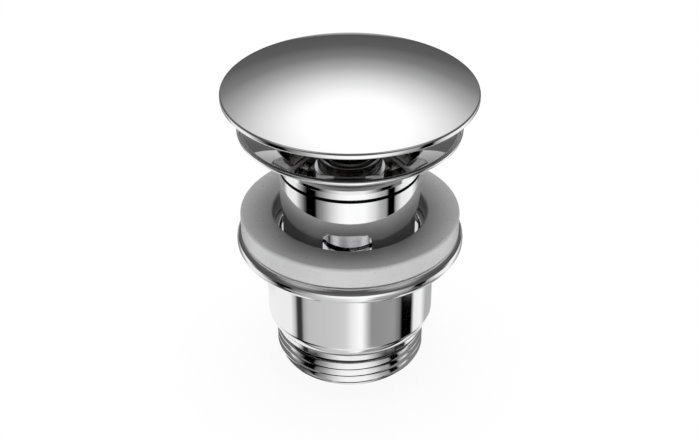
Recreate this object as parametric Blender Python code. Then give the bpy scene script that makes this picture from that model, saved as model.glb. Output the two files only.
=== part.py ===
"""Pop-up basin waste with a push-open domed cap, standing on its threaded tail.

The axis of the waste is Z and the end of the tail is at Z = 0. The cap is up, which is the
open position. Every size is a named value below, in metres, and every piece takes its place
from the piece that carries it.
"""

import bpy
import bmesh
from math import acos, atan2, ceil, cos, pi, radians, sin, sqrt, tan
from mathutils import Matrix, Vector

MM = 0.001

# Clearance and facets
GAP = 0.3 * MM  # left between pieces that touch
WELD = 0.001 * MM
FILLET_SHARE = 0.49  # most of a side that one fillet takes
LARGE_STEPS = 40  # facets round the pieces that are seen
SMALL_STEPS = 30  # facets round the pieces of the cartridge
HALF_FACET = pi / LARGE_STEPS  # keeps the edges of a cutter off the edges of what it cuts
ARC_STEP = radians(30)  # most that one facet of a large fillet turns
SMALL_FILLET = 1.2 * MM  # a fillet under this size has two facets
PUSH_PAST = 1.0 * MM  # how far a cutter runs past what it cuts

# Lower body: flange, cylinder and threaded tail
TAIL_RADIUS = 20.95 * MM  # crest of G 1 1/4
TAIL_LENGTH = 11.0 * MM
TAIL_WALL = 3.75 * MM
TAIL_PITCH = 2.309 * MM  # 11 threads to the inch
TAIL_THREAD_DEPTH = 1.48 * MM
TAIL_CREST_SHARE = 0.2  # width of a crest against the pitch
TAIL_LEAD = 0.9 * MM  # tail end to the first thread
TAIL_CORE_STEP = 0.2 * MM  # how far the core lies under the thread's root
TAIL_COLLAR = 0.9 * MM  # plain collar between the thread and the cylinder
TAIL_THREAD_TURN = -pi / 2 - HALF_FACET  # starts the thread at the front
LOWER_STEP = 2.35 * MM  # how far the cylinder stands out from the tail
LOWER_WALL = 3.9 * MM
LOWER_ROUND = 4.6 * MM
LOWER_HEIGHT = 41.4 * MM  # tail end to the top of the flange
LOWER_FLANGE_WIDTH = 7.95 * MM  # how far the flange stands out from the cylinder
LOWER_FLANGE_THICK = 4.8 * MM
LOWER_FLANGE_ROUND = 2.1 * MM
LOWER_NECK_ROUND = 0.8 * MM
LOWER_FLOOR = 13.6 * MM  # tail end to the step where the wide bore ends

# Sealing ring
SEAL_SLACK = 2.0 * MM  # between the tube and the hole of the ring
SEAL_WIDTH = 9.0 * MM
SEAL_THICK = 5.7 * MM
SEAL_ROUND = 0.7 * MM

# Waste body: dished flange and tube
CLAMP_GAP = 24.9 * MM  # sealing ring to flange, where the basin goes
FLANGE_WIDTH = 10.9 * MM  # how far the flange stands out from the tube
FLANGE_RIM = 1.45 * MM
FLANGE_LIP = 1.0 * MM
FLANGE_LAND = 1.6 * MM  # flat ring under the rim
FLANGE_ROUND = 0.4 * MM
UNDERSIDE_DEPTH = 5.0 * MM
DISH_LEDGE = 3.8 * MM  # throat to the foot of the dish, where the stopper seal closes
DISH_DEPTH = 4.25 * MM
THROAT_DEPTH = 4.2 * MM
THROAT_STEP = 0.6 * MM  # stands in from the tube's bore and stops the spider
THROAT_ROUND = 1.0 * MM
UNDERSIDE_ROUND = 1.0 * MM
TUBE_WALL = 2.1 * MM
TUBE_LENGTH = 46.8 * MM  # flange seat to the end of the tube
TUBE_CHAMFER = 0.7 * MM
GROOVE_BELOW = 11.2 * MM  # flange seat to the middle of the turned groove
GROOVE_WIDTH = 0.8 * MM
GROOVE_DEPTH = 0.6 * MM

# Overflow windows
WINDOW_COUNT = 4
WINDOW_TURN = radians(-2.2)
WINDOW_WIDTH = 13.1 * MM
WINDOW_HEIGHT = 8.5 * MM
WINDOW_CORNER = 2.0 * MM
WINDOW_TOP_BELOW = 22.1 * MM  # flange seat to the top of the windows

# Spider
SPIDER_BELOW = 15.3 * MM  # flange seat to the top of the spider
SPIDER_HEIGHT = 4.0 * MM
SPIDER_RIM_WALL = 1.7 * MM
SPIDER_HUB_WALL = 2.9 * MM
SPIDER_ARMS = 4
SPIDER_ARM_WIDTH = 3.2 * MM

# Cartridge housing
HOUSING_WALL = 2.4 * MM
HOUSING_BELOW_HUB = 31.0 * MM  # spider's underside to the foot of the housing
COLLAR_WIDTH = 1.5 * MM  # how far the collar's flats stand out from the housing
COLLAR_HEIGHT = 3.5 * MM
NECK_STEP = 0.8 * MM
NECK_HEIGHT = 4.4 * MM
SHOULDER_BELOW = 5.4 * MM  # spider's top to the shoulder that stops the drum
HOUSING_CHAMFER = 0.5 * MM

# Lock nut and washer of the cartridge
NUT_BEVEL = 0.6  # height of a nut's chamfer against its width
LOCK_NUT_WALL = 1.7 * MM
LOCK_NUT_HEIGHT = 4.0 * MM
WASHER_THICK = 0.8 * MM

# Plunger: rod and cam drum
ROD_WALL = 1.2 * MM  # round the tapped hole for the stud
ROD_RISE = 16.1 * MM  # spider's top to the top of the rod
DRUM_STEP = 1.3 * MM  # how far the drum stands out from the rod
DRUM_LENGTH = 15.8 * MM
SPRING_BORE_WALL = 2.0 * MM
SPRING_BORE_DEPTH = 11.5 * MM
STROKE = 8.0 * MM

# Heart-shaped track and its follower
SWING = radians(30)  # how far the clip turns over the stroke
TRACK_HALF_WIDTH = 0.9 * MM
TRACK_START = 3.0 * MM  # foot of the drum to the pin at rest
TRACK_OVERRUN = 0.4 * MM
LATCH_DROP = 2.1 * MM  # depth of the notch that holds the pin
TRACK_DEPTH = 1.1 * MM
TRACK_LEG_STEP = 0.08 * MM  # each leg is this much deeper, so that the pin goes round one way
TRACK_WIDENING = 0.02 * MM  # and this much wider on either side
TRACK_STRIP = 1.1 * MM
TRACK_END_STEPS = 5  # facets of a leg's round end
PIN_DIRECTION = radians(-90)
DRUM_FACET_TURN = radians(1.7)  # keeps the drum's edges off the track's ends
CLIP_WIRE_RADIUS = 0.5 * MM
CLIP_WRAP = radians(300)
CLIP_BEND_RADIUS = 1.2 * MM
CLIP_BEND_STEPS = 4
CLIP_FACET = radians(15)
CLIP_GROOVE_DEPTH = 0.8 * MM
WIRE_SIDES = 1  # bevel resolution: 6 sides

# Return spring and its seat
SPRING_WIRE_RADIUS = 0.35 * MM
SPRING_TURNS = 7
SPRING_POINTS = 10  # points in one turn
SEAT_LENGTH = 4.8 * MM
SEAT_WALL = 1.5 * MM  # housing wall round the seat
SPIGOT_LENGTH = 3.2 * MM
SPIGOT_SLACK = 0.4 * MM  # between the spigot and the spring
SPIGOT_WALL = 0.9 * MM
SEAT_SLOT_WIDTH = 1.2 * MM
SEAT_SLOT_DEPTH = 1.4 * MM

# Rod seal, guide bush and retaining ring, in the head of the housing
O_RING_WIRE = 1.5 * MM
O_RING_SIDES = 8
O_RING_ABOVE = 5.0 * MM  # drum shoulder to the middle of the O-ring
BUSH_WALL = 2.3 * MM
BUSH_LENGTH = 3.7 * MM
BUSH_ABOVE = 7.2 * MM  # drum shoulder to the foot of the bush
RING_THICK = 0.6 * MM
RING_BITE = 0.6 * MM  # how far the retaining ring stands into the housing
RING_SPLIT = radians(40)
RING_WIDTH = 1.3 * MM

# Stud, lock nut, stopper plate and stopper seal
STUD_RADIUS = 2.5 * MM
STUD_IN_ROD = 9.7 * MM
STUD_IN_CAP = 5.8 * MM
STUD_CHAMFER = 0.4 * MM
CAP_NUT_WALL = 1.2 * MM
CAP_NUT_HEIGHT = 3.0 * MM
PLATE_WASHER_WIDTH = 2.2 * MM
PLATE_WASHER_THICK = 0.6 * MM
PLATE_HUB_WALL = 3.2 * MM
PLATE_HUB_DEPTH = 0.9 * MM
PLATE_THICK = 1.6 * MM
PLATE_MARGIN = 1.0 * MM  # foot of the dish to the plate's edge
TONGUE_DEPTH = 1.4 * MM
TONGUE_THICK = 1.0 * MM
STOPPER_OVERLAP = 2.0 * MM  # how far the seal lies over the foot of the dish
STOPPER_TOP_LIP = 0.8 * MM

# Domed cap
CAP_OVERHANG = 4.0 * MM  # how far the cap stands out from the flange
CAP_RISE = 5.7 * MM  # rim's upper corner to the top of the dome
CAP_RIM_HEIGHT = 1.8 * MM
CAP_RIM_ROUND = 0.8 * MM
CAP_WALL = 1.3 * MM
CAP_RIM_WALL = 1.5 * MM
CAP_RIM_INNER_ROUND = 0.4 * MM
CAP_BOSS_WALL = 3.2 * MM
CAP_BOSS_ROUND = 1.0 * MM
CAP_DROP = 2.1 * MM  # top of the stopper plate to the foot of the rim
DOME_STEPS = 7

AXIS_MARK = 10 * MM  # size of the empties on the joints' axes

# Heights that follow from the sizes above
SEAL_FOOT = LOWER_HEIGHT + GAP
SEAT_PLANE = SEAL_FOOT + SEAL_THICK + CLAMP_GAP
DISH_FOOT = SEAT_PLANE + FLANGE_RIM - DISH_DEPTH
SPIDER_TOP = SEAT_PLANE - SPIDER_BELOW
SPIDER_FOOT = SPIDER_TOP - SPIDER_HEIGHT
HOUSING_FOOT = SPIDER_FOOT - HOUSING_BELOW_HUB
COLLAR_FOOT = SPIDER_TOP + GAP
COLLAR_TOP = COLLAR_FOOT + COLLAR_HEIGHT
HOUSING_TOP = COLLAR_TOP + NECK_HEIGHT
SHOULDER = SPIDER_TOP - SHOULDER_BELOW
DRUM_TOP = SHOULDER - GAP
DRUM_FOOT = DRUM_TOP - DRUM_LENGTH
ROD_TOP = SPIDER_TOP + ROD_RISE
PIN_HEIGHT = DRUM_FOOT + TRACK_START
SEAT_TOP = HOUSING_FOOT + SEAT_LENGTH
SPRING_ROOF = DRUM_FOOT + SPRING_BORE_DEPTH
CAP_NUT_FOOT = ROD_TOP + GAP
PLATE_WASHER_FOOT = CAP_NUT_FOOT + CAP_NUT_HEIGHT + GAP
PLATE_FOOT = PLATE_WASHER_FOOT + PLATE_WASHER_THICK + GAP
PLATE_TOP = PLATE_FOOT + PLATE_HUB_DEPTH + PLATE_THICK
BOSS_FOOT = PLATE_TOP + GAP
CAP_RIM_FOOT = PLATE_TOP + CAP_DROP

# Radii that follow from the sizes above, from the tail outwards
TAIL_BORE_RADIUS = TAIL_RADIUS - TAIL_WALL
TAIL_ROOT_RADIUS = TAIL_RADIUS - TAIL_THREAD_DEPTH
TAIL_CORE_RADIUS = TAIL_ROOT_RADIUS - TAIL_CORE_STEP
LOWER_RADIUS = TAIL_RADIUS + LOWER_STEP
LOWER_BORE_RADIUS = LOWER_RADIUS - LOWER_WALL
LOWER_FLANGE_RADIUS = LOWER_RADIUS + LOWER_FLANGE_WIDTH
TUBE_RADIUS = LOWER_BORE_RADIUS - GAP
TUBE_BORE_RADIUS = TUBE_RADIUS - TUBE_WALL
THROAT_RADIUS = TUBE_BORE_RADIUS - THROAT_STEP
DISH_RADIUS = THROAT_RADIUS + DISH_LEDGE
FLANGE_RADIUS = TUBE_RADIUS + FLANGE_WIDTH
SEAL_HOLE_RADIUS = TUBE_RADIUS + SEAL_SLACK
SEAL_RADIUS = SEAL_HOLE_RADIUS + SEAL_WIDTH
PLATE_RADIUS = DISH_RADIUS - PLATE_MARGIN
TONGUE_RADIUS = PLATE_RADIUS + TONGUE_DEPTH
STOPPER_RADIUS = DISH_RADIUS + STOPPER_OVERLAP
CAP_RADIUS = FLANGE_RADIUS + CAP_OVERHANG
DISH_SLOPE = DISH_DEPTH / (FLANGE_RADIUS - FLANGE_LIP - DISH_RADIUS)

# Radii that follow from the sizes above, from the stud outwards
STUD_HOLE_RADIUS = STUD_RADIUS + GAP
CAP_NUT_FLATS = 2 * (STUD_HOLE_RADIUS + CAP_NUT_WALL)
PLATE_WASHER_RADIUS = STUD_HOLE_RADIUS + PLATE_WASHER_WIDTH
PLATE_HUB_RADIUS = STUD_HOLE_RADIUS + PLATE_HUB_WALL
CAP_BOSS_RADIUS = STUD_HOLE_RADIUS + CAP_BOSS_WALL
ROD_RADIUS = STUD_HOLE_RADIUS + ROD_WALL
ROD_BORE_RADIUS = ROD_RADIUS + GAP
BUSH_RADIUS = ROD_BORE_RADIUS + BUSH_WALL
DRUM_RADIUS = ROD_RADIUS + DRUM_STEP
DRUM_BORE_RADIUS = DRUM_RADIUS + GAP
TRACK_FLOOR_RADIUS = DRUM_RADIUS - TRACK_DEPTH
SPRING_BORE_RADIUS = DRUM_RADIUS - SPRING_BORE_WALL
SPRING_MEAN_RADIUS = SPRING_BORE_RADIUS - GAP - SPRING_WIRE_RADIUS
SPIGOT_RADIUS = SPRING_MEAN_RADIUS - SPRING_WIRE_RADIUS - SPIGOT_SLACK
SEAT_HOLE_RADIUS = SPIGOT_RADIUS - SPIGOT_WALL
HOUSING_RADIUS = DRUM_BORE_RADIUS + HOUSING_WALL
HOUSING_HOLE_RADIUS = HOUSING_RADIUS + GAP
NECK_RADIUS = HOUSING_RADIUS + NECK_STEP
COLLAR_FLATS = 2 * (HOUSING_RADIUS + COLLAR_WIDTH)
SPIDER_HUB_RADIUS = HOUSING_HOLE_RADIUS + SPIDER_HUB_WALL
LOCK_NUT_FLATS = 2 * (HOUSING_HOLE_RADIUS + LOCK_NUT_WALL)
CLIP_GROOVE_RADIUS = HOUSING_RADIUS - CLIP_GROOVE_DEPTH
CLIP_RADIUS = CLIP_GROOVE_RADIUS + GAP + CLIP_WIRE_RADIUS


def clear_scene():
    for old in list(bpy.data.objects):
        bpy.data.objects.remove(old, do_unlink=True)


def finish(name, colour, metallic, roughness):
    """A plain Principled material in the colour of the real piece."""
    material = bpy.data.materials.new(name)
    material.use_nodes = True
    shader = material.node_tree.nodes["Principled BSDF"]
    shader.inputs["Base Color"].default_value = (*colour, 1.0)
    shader.inputs["Metallic"].default_value = metallic
    shader.inputs["Roughness"].default_value = roughness
    return material


def fillet(before, corner, after, radius):
    """Points of the arc that rounds a corner, kept under half of the shorter side."""
    corner = Vector(corner)
    to_before = Vector(before) - corner
    to_after = Vector(after) - corner
    half = to_before.angle(to_after) / 2
    shorter = min(to_before.length, to_after.length)
    reach = min(radius / tan(half), FILLET_SHARE * shorter)
    radius = reach * tan(half)
    middle = (to_before.normalized() + to_after.normalized()).normalized()
    centre = corner + middle * (radius / sin(half))
    start = corner + to_before.normalized() * reach - centre
    end = corner + to_after.normalized() * reach - centre
    steps = 2 if radius < SMALL_FILLET else ceil((pi - 2 * half) / ARC_STEP)
    turn = start.angle_signed(end)
    return [centre + Matrix.Rotation(-turn * i / steps, 2) @ start for i in range(steps + 1)]


def outline(corners):
    """Corners are (radius, height) or (radius, height, fillet); gives the outline's points."""
    points = []
    for i, corner in enumerate(corners):
        if len(corner) == 2:
            points.append(Vector(corner))
            continue
        before = corners[i - 1][:2]
        after = corners[(i + 1) % len(corners)][:2]
        points += fillet(before, corner[:2], after, corner[2])
    return points


def add_object(name, bm, material, height):
    """Turns a bmesh into a smooth-shaded object whose origin is on the axis at that height."""
    bmesh.ops.remove_doubles(bm, verts=bm.verts, dist=WELD)
    bmesh.ops.recalc_face_normals(bm, faces=bm.faces)
    mesh = bpy.data.meshes.new(name)
    bm.to_mesh(mesh)
    bm.free()
    mesh.shade_smooth()
    mesh.set_sharp_from_angle(angle=radians(35))
    if material:
        mesh.materials.append(material)
    item = bpy.data.objects.new(name, mesh)
    item.location.z = height
    bpy.context.scene.collection.objects.link(item)
    return item


def turned(name, corners, material=None, height=0.0, steps=SMALL_STEPS, closed=True, arc=2 * pi):
    """Spins an outline round Z. An open outline starts and ends on the axis."""
    bm = bmesh.new()
    verts = [bm.verts.new((point.x, 0, point.y)) for point in outline(corners)]
    edges = [bm.edges.new(pair) for pair in zip(verts, verts[1:])]
    if closed:
        edges.append(bm.edges.new((verts[-1], verts[0])))
    whole = arc >= 2 * pi
    if not whole:
        bm.faces.new(verts)
    spun = bmesh.ops.spin(
        bm, geom=verts + edges, cent=(0, 0, 0), axis=(0, 0, 1), angle=arc, steps=steps, use_merge=whole
    )
    if not whole:
        last = [part for part in spun["geom_last"] if isinstance(part, bmesh.types.BMEdge)]
        bmesh.ops.contextual_create(bm, geom=last)
    return add_object(name, bm, material, height)


def prism(name, points, low, high, height=0.0):
    """Extrudes an outline in X and Y from one height to another."""
    bm = bmesh.new()
    foot = bm.faces.new([bm.verts.new((x, y, low)) for x, y in points])
    top = bmesh.ops.extrude_face_region(bm, geom=[foot], use_keep_orig=True)["geom"]
    moved = [part for part in top if isinstance(part, bmesh.types.BMVert)]
    bmesh.ops.translate(bm, verts=moved, vec=(0, 0, high - low))
    return add_object(name, bm, None, height)


def hexagon(flats):
    """Corners of a hexagon of that size across its flats."""
    corner = flats / sqrt(3)
    return [(corner * cos(i * pi / 3), corner * sin(i * pi / 3)) for i in range(6)]


def oblong(width, length, turn=0.0):
    """Corners of a rectangle centred on the axis and turned about it."""
    rectangle = ((-1, -1), (1, -1), (1, 1), (-1, 1))
    spin = Matrix.Rotation(turn, 2)
    return [tuple(spin @ Vector((x * length / 2, y * width / 2))) for x, y in rectangle]


def combine(target, helper, operation):
    """Adds, subtracts or intersects a helper, which is then left out of the model."""
    modifier = target.modifiers.new(helper.name, "BOOLEAN")
    modifier.operation = operation
    modifier.solver = "EXACT"
    modifier.object = helper
    helper.hide_render = True
    helper.display_type = "WIRE"


def hex_nut(name, bore, flats, thick, material, height):
    """A chamfered hexagon nut: a turned blank cut to its six flats."""
    corner = flats / sqrt(3)
    bevel = NUT_BEVEL * (corner - flats / 2)
    blank = [
        (bore, 0),
        (flats / 2, 0),
        (corner, bevel),
        (corner, thick - bevel),
        (flats / 2, thick),
        (bore, thick),
    ]
    nut = turned(name, blank, material, height, steps=SMALL_STEPS)
    flats_cutter = prism(name + "_flats", hexagon(flats), -PUSH_PAST, thick + PUSH_PAST, height)
    combine(nut, flats_cutter, "INTERSECT")
    return nut


def sealed_by(wire, name, shaft_radius, material, height):
    """An O-ring that lies round a shaft with the usual gap."""
    middle = shaft_radius + GAP + wire / 2
    section = []
    for i in range(O_RING_SIDES):
        angle = 2 * pi * i / O_RING_SIDES
        section.append((middle + wire / 2 * cos(angle), wire / 2 * sin(angle)))
    return turned(name, section, material, height, steps=SMALL_STEPS)


def make_lower_body(material):
    """Clamping flange, cylinder with a rounded foot, and the threaded tail that takes the trap."""
    flange_foot = LOWER_HEIGHT - LOWER_FLANGE_THICK
    thread_top = TAIL_LENGTH - TAIL_COLLAR
    corners = [
        (0, 0),
        (TAIL_CORE_RADIUS, 0),
        (TAIL_CORE_RADIUS, thread_top),
        (TAIL_RADIUS, thread_top),
        (TAIL_RADIUS, TAIL_LENGTH),
        *cylinder_foot(),
        (LOWER_RADIUS, flange_foot, LOWER_NECK_ROUND),
        (LOWER_FLANGE_RADIUS, flange_foot, LOWER_FLANGE_ROUND),
        (LOWER_FLANGE_RADIUS, LOWER_HEIGHT, LOWER_FLANGE_ROUND),
        (0, LOWER_HEIGHT),
    ]
    bore = [
        (0, -PUSH_PAST),
        (TAIL_BORE_RADIUS, -PUSH_PAST),
        (TAIL_BORE_RADIUS, LOWER_FLOOR - (LOWER_BORE_RADIUS - TAIL_BORE_RADIUS)),
        (LOWER_BORE_RADIUS, LOWER_FLOOR),
        (LOWER_BORE_RADIUS, LOWER_HEIGHT + PUSH_PAST),
        (0, LOWER_HEIGHT + PUSH_PAST),
    ]
    body = turned("lower_body", corners, material, steps=LARGE_STEPS, closed=False)
    thread = tail_thread(thread_top - TAIL_LEAD + GAP)
    thread.rotation_euler.z = TAIL_THREAD_TURN
    combine(body, thread, "UNION")
    cutter = turned("lower_body_bore", bore, None, steps=LARGE_STEPS, closed=False)
    cutter.rotation_euler.z = HALF_FACET
    combine(body, cutter, "DIFFERENCE")
    return body


def tail_thread(length):
    """A threaded plug: teeth screwed once round the axis, cut square and closed at both ends."""
    bm = bmesh.new()
    crest_start = TAIL_PITCH * (1 - TAIL_CREST_SHARE) / 2
    crest_end = TAIL_PITCH * (1 + TAIL_CREST_SHARE) / 2
    verts = []
    # One pitch more than the plug's length at each end, because the teeth climb as they go round.
    for i in range(-1, ceil(length / TAIL_PITCH) + 1):
        root = i * TAIL_PITCH
        for radius, height in (
            (TAIL_ROOT_RADIUS, root),
            (TAIL_RADIUS, root + crest_start),
            (TAIL_RADIUS, root + crest_end),
        ):
            verts.append(bm.verts.new((radius, 0, height)))
    edges = [bm.edges.new(pair) for pair in zip(verts, verts[1:])]
    climb = (0, 0, TAIL_PITCH / LARGE_STEPS)
    bmesh.ops.spin(
        bm, geom=verts + edges, cent=(0, 0, 0), axis=(0, 0, 1), dvec=climb, angle=2 * pi, steps=LARGE_STEPS
    )
    bmesh.ops.remove_doubles(bm, verts=bm.verts, dist=WELD)
    for height, outwards in ((0, -1), (length, 1)):
        bmesh.ops.bisect_plane(
            bm,
            geom=bm.verts[:] + bm.edges[:] + bm.faces[:],
            plane_co=(0, 0, height),
            plane_no=(0, 0, outwards),
            clear_outer=True,
        )
        in_plane = [vert for vert in bm.verts if abs(vert.co.z - height) < WELD]
        rim = [edge for edge in bm.edges if all(vert in in_plane for vert in edge.verts)]
        bmesh.ops.contextual_create(bm, geom=rim)
    return add_object("tail_thread", bm, None, TAIL_LEAD)


def cylinder_foot():
    """Points of the round that takes the cylinder in to the tail, from the tail upwards."""
    centre = LOWER_RADIUS - LOWER_ROUND
    turn = acos((TAIL_RADIUS - centre) / LOWER_ROUND)
    middle = TAIL_LENGTH + LOWER_ROUND * sin(turn)
    steps = ceil(turn / (ARC_STEP / 2))
    points = []
    for i in range(steps + 1):
        angle = turn * (i / steps - 1)
        points.append((centre + LOWER_ROUND * cos(angle), middle + LOWER_ROUND * sin(angle)))
    return points


def make_sealing_ring(material):
    corners = [
        (SEAL_HOLE_RADIUS, 0),
        (SEAL_RADIUS, 0, SEAL_ROUND),
        (SEAL_RADIUS, SEAL_THICK, SEAL_ROUND),
        (SEAL_HOLE_RADIUS, SEAL_THICK, SEAL_ROUND),
    ]
    return turned("sealing_ring", corners, material, SEAL_FOOT, steps=LARGE_STEPS)


def make_waste_body(material):
    """Dished inlet flange and tube, with the overflow windows cut through the tube."""
    groove_top = -GROOVE_BELOW + GROOVE_WIDTH / 2
    groove_foot = -GROOVE_BELOW - GROOVE_WIDTH / 2
    groove_radius = TUBE_RADIUS - GROOVE_DEPTH
    spider_stop = -SPIDER_BELOW + GAP
    lip_radius = FLANGE_RADIUS - FLANGE_LIP
    dish_foot = FLANGE_RIM - DISH_DEPTH
    corners = [
        (FLANGE_RADIUS, 0, FLANGE_ROUND),
        (FLANGE_RADIUS, FLANGE_RIM, FLANGE_ROUND),
        (lip_radius, FLANGE_RIM),
        (DISH_RADIUS, dish_foot, FLANGE_ROUND),
        (THROAT_RADIUS, dish_foot - THROAT_DEPTH, THROAT_ROUND),
        (THROAT_RADIUS, spider_stop),
        (TUBE_BORE_RADIUS, spider_stop),
        (TUBE_BORE_RADIUS, -TUBE_LENGTH),
        (TUBE_RADIUS - TUBE_CHAMFER, -TUBE_LENGTH),
        (TUBE_RADIUS, TUBE_CHAMFER - TUBE_LENGTH),
        (TUBE_RADIUS, groove_foot),
        (groove_radius, groove_foot),
        (groove_radius, groove_top),
        (TUBE_RADIUS, groove_top),
        (TUBE_RADIUS, -UNDERSIDE_DEPTH, UNDERSIDE_ROUND),
        (FLANGE_RADIUS - FLANGE_LAND, 0),
    ]
    body = turned("waste_body", corners, material, SEAT_PLANE, steps=LARGE_STEPS)
    for i in range(WINDOW_COUNT):
        combine(body, make_window_cutter(i), "DIFFERENCE")
    return body


def make_window_cutter(index):
    """A rounded rectangle pushed through one side of the tube."""
    half_width = WINDOW_WIDTH / 2
    corners = [
        (-half_width, -WINDOW_HEIGHT, WINDOW_CORNER),
        (half_width, -WINDOW_HEIGHT, WINDOW_CORNER),
        (half_width, 0, WINDOW_CORNER),
        (-half_width, 0, WINDOW_CORNER),
    ]
    inner = TUBE_BORE_RADIUS / 2
    outer = TUBE_RADIUS + PUSH_PAST
    cutter = prism(f"window_cutter_{index + 1}", outline(corners), inner, outer)
    # The prism points up, so it is tipped over to point outwards through the wall.
    aim = Matrix.Rotation(WINDOW_TURN + 2 * pi * index / WINDOW_COUNT, 4, "Z")
    tip = Matrix.Rotation(pi / 2, 4, "X")
    cutter.matrix_world = Matrix.Translation((0, 0, SEAT_PLANE - WINDOW_TOP_BELOW)) @ aim @ tip
    return cutter


def make_spider(material):
    """Rim, four arms and hub. It screws into the tube from below, up to the throat's step."""
    rim_radius = TUBE_BORE_RADIUS - GAP
    inner_rim = rim_radius - SPIDER_RIM_WALL
    rim = [(inner_rim, 0), (rim_radius, 0), (rim_radius, SPIDER_HEIGHT), (inner_rim, SPIDER_HEIGHT)]
    hub = [
        (HOUSING_RADIUS, 0),
        (SPIDER_HUB_RADIUS, 0),
        (SPIDER_HUB_RADIUS, SPIDER_HEIGHT),
        (HOUSING_RADIUS, SPIDER_HEIGHT),
    ]
    spider = turned("spider", rim, material, SPIDER_FOOT, steps=LARGE_STEPS)
    combine(spider, turned("spider_hub", hub, None, SPIDER_FOOT), "UNION")
    arm_length = 2 * rim_radius - SPIDER_RIM_WALL
    for i in range(SPIDER_ARMS // 2):
        turn = pi * (i + 0.5) / (SPIDER_ARMS // 2)
        bar = oblong(SPIDER_ARM_WIDTH, arm_length, turn)
        arm = prism(f"spider_arm_{i + 1}", bar, GAP, SPIDER_HEIGHT - GAP, SPIDER_FOOT)
        combine(spider, arm, "UNION")
    hole_top = SPIDER_HEIGHT + PUSH_PAST
    hole = [
        (0, -PUSH_PAST),
        (HOUSING_HOLE_RADIUS, -PUSH_PAST),
        (HOUSING_HOLE_RADIUS, hole_top),
        (0, hole_top),
    ]
    bore = turned("spider_bore", hole, None, SPIDER_FOOT, closed=False)
    combine(spider, bore, "DIFFERENCE")
    return spider


def make_housing(material):
    """Threaded barrel: collar on the spider's hub, clip groove, milled slot, stepped bore."""
    groove_half = CLIP_WIRE_RADIUS + GAP
    barrel = [
        (0, HOUSING_FOOT),
        (HOUSING_RADIUS - HOUSING_CHAMFER, HOUSING_FOOT),
        (HOUSING_RADIUS, HOUSING_FOOT + HOUSING_CHAMFER),
        (HOUSING_RADIUS, PIN_HEIGHT - groove_half),
        (CLIP_GROOVE_RADIUS, PIN_HEIGHT - groove_half),
        (CLIP_GROOVE_RADIUS, PIN_HEIGHT + groove_half),
        (HOUSING_RADIUS, PIN_HEIGHT + groove_half),
        (HOUSING_RADIUS, COLLAR_TOP - COLLAR_HEIGHT / 2),
        (NECK_RADIUS, COLLAR_TOP - COLLAR_HEIGHT / 2),
        (NECK_RADIUS, HOUSING_TOP - HOUSING_CHAMFER),
        (NECK_RADIUS - HOUSING_CHAMFER, HOUSING_TOP),
        (0, HOUSING_TOP),
    ]
    housing = turned("cartridge_housing", barrel, material, closed=False)
    collar = hex_nut("housing_collar", DRUM_RADIUS, COLLAR_FLATS, COLLAR_HEIGHT, None, COLLAR_FOOT)
    combine(housing, collar, "UNION")
    combine(housing, make_housing_bore(), "DIFFERENCE")
    half_slot = SWING + (CLIP_BEND_RADIUS + groove_half) / CLIP_GROOVE_RADIUS
    slot_width = 2 * HOUSING_RADIUS * sin(half_slot)
    slot = [
        (-slot_width / 2, 0),
        (slot_width / 2, 0),
        (slot_width / 2, HOUSING_RADIUS + PUSH_PAST),
        (-slot_width / 2, HOUSING_RADIUS + PUSH_PAST),
    ]
    slot_cutter = prism("housing_slot", slot, -groove_half, groove_half, PIN_HEIGHT)
    slot_cutter.rotation_euler.z = PIN_DIRECTION - pi / 2
    combine(housing, slot_cutter, "DIFFERENCE")
    return housing


def make_housing_bore():
    """The stepped bore: seat, drum, rod, O-ring gland, bush, retaining ring."""
    seat_bore = HOUSING_RADIUS - SEAT_WALL
    seat_roof = SEAT_TOP + GAP
    gland = ROD_RADIUS + O_RING_WIRE + 2 * GAP
    gland_middle = SHOULDER + O_RING_ABOVE
    gland_half = O_RING_WIRE / 2 + GAP
    bush_bore = BUSH_RADIUS + GAP
    bush_foot = SHOULDER + BUSH_ABOVE - GAP
    ring_foot = SHOULDER + BUSH_ABOVE + BUSH_LENGTH
    ring_top = ring_foot + RING_THICK + 2 * GAP
    ring_radius = bush_bore + RING_BITE
    corners = [
        (0, HOUSING_FOOT - PUSH_PAST),
        (seat_bore, HOUSING_FOOT - PUSH_PAST),
        (seat_bore, seat_roof),
        (DRUM_BORE_RADIUS, seat_roof),
        (DRUM_BORE_RADIUS, SHOULDER),
        (ROD_BORE_RADIUS, SHOULDER),
        (ROD_BORE_RADIUS, gland_middle - gland_half),
        (gland, gland_middle - gland_half),
        (gland, gland_middle + gland_half),
        (ROD_BORE_RADIUS, gland_middle + gland_half),
        (ROD_BORE_RADIUS, bush_foot),
        (bush_bore, bush_foot),
        (bush_bore, ring_foot),
        (ring_radius, ring_foot),
        (ring_radius, ring_top),
        (bush_bore, ring_top),
        (bush_bore, HOUSING_TOP + PUSH_PAST),
        (0, HOUSING_TOP + PUSH_PAST),
    ]
    return turned("housing_bore", corners, closed=False)


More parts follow.
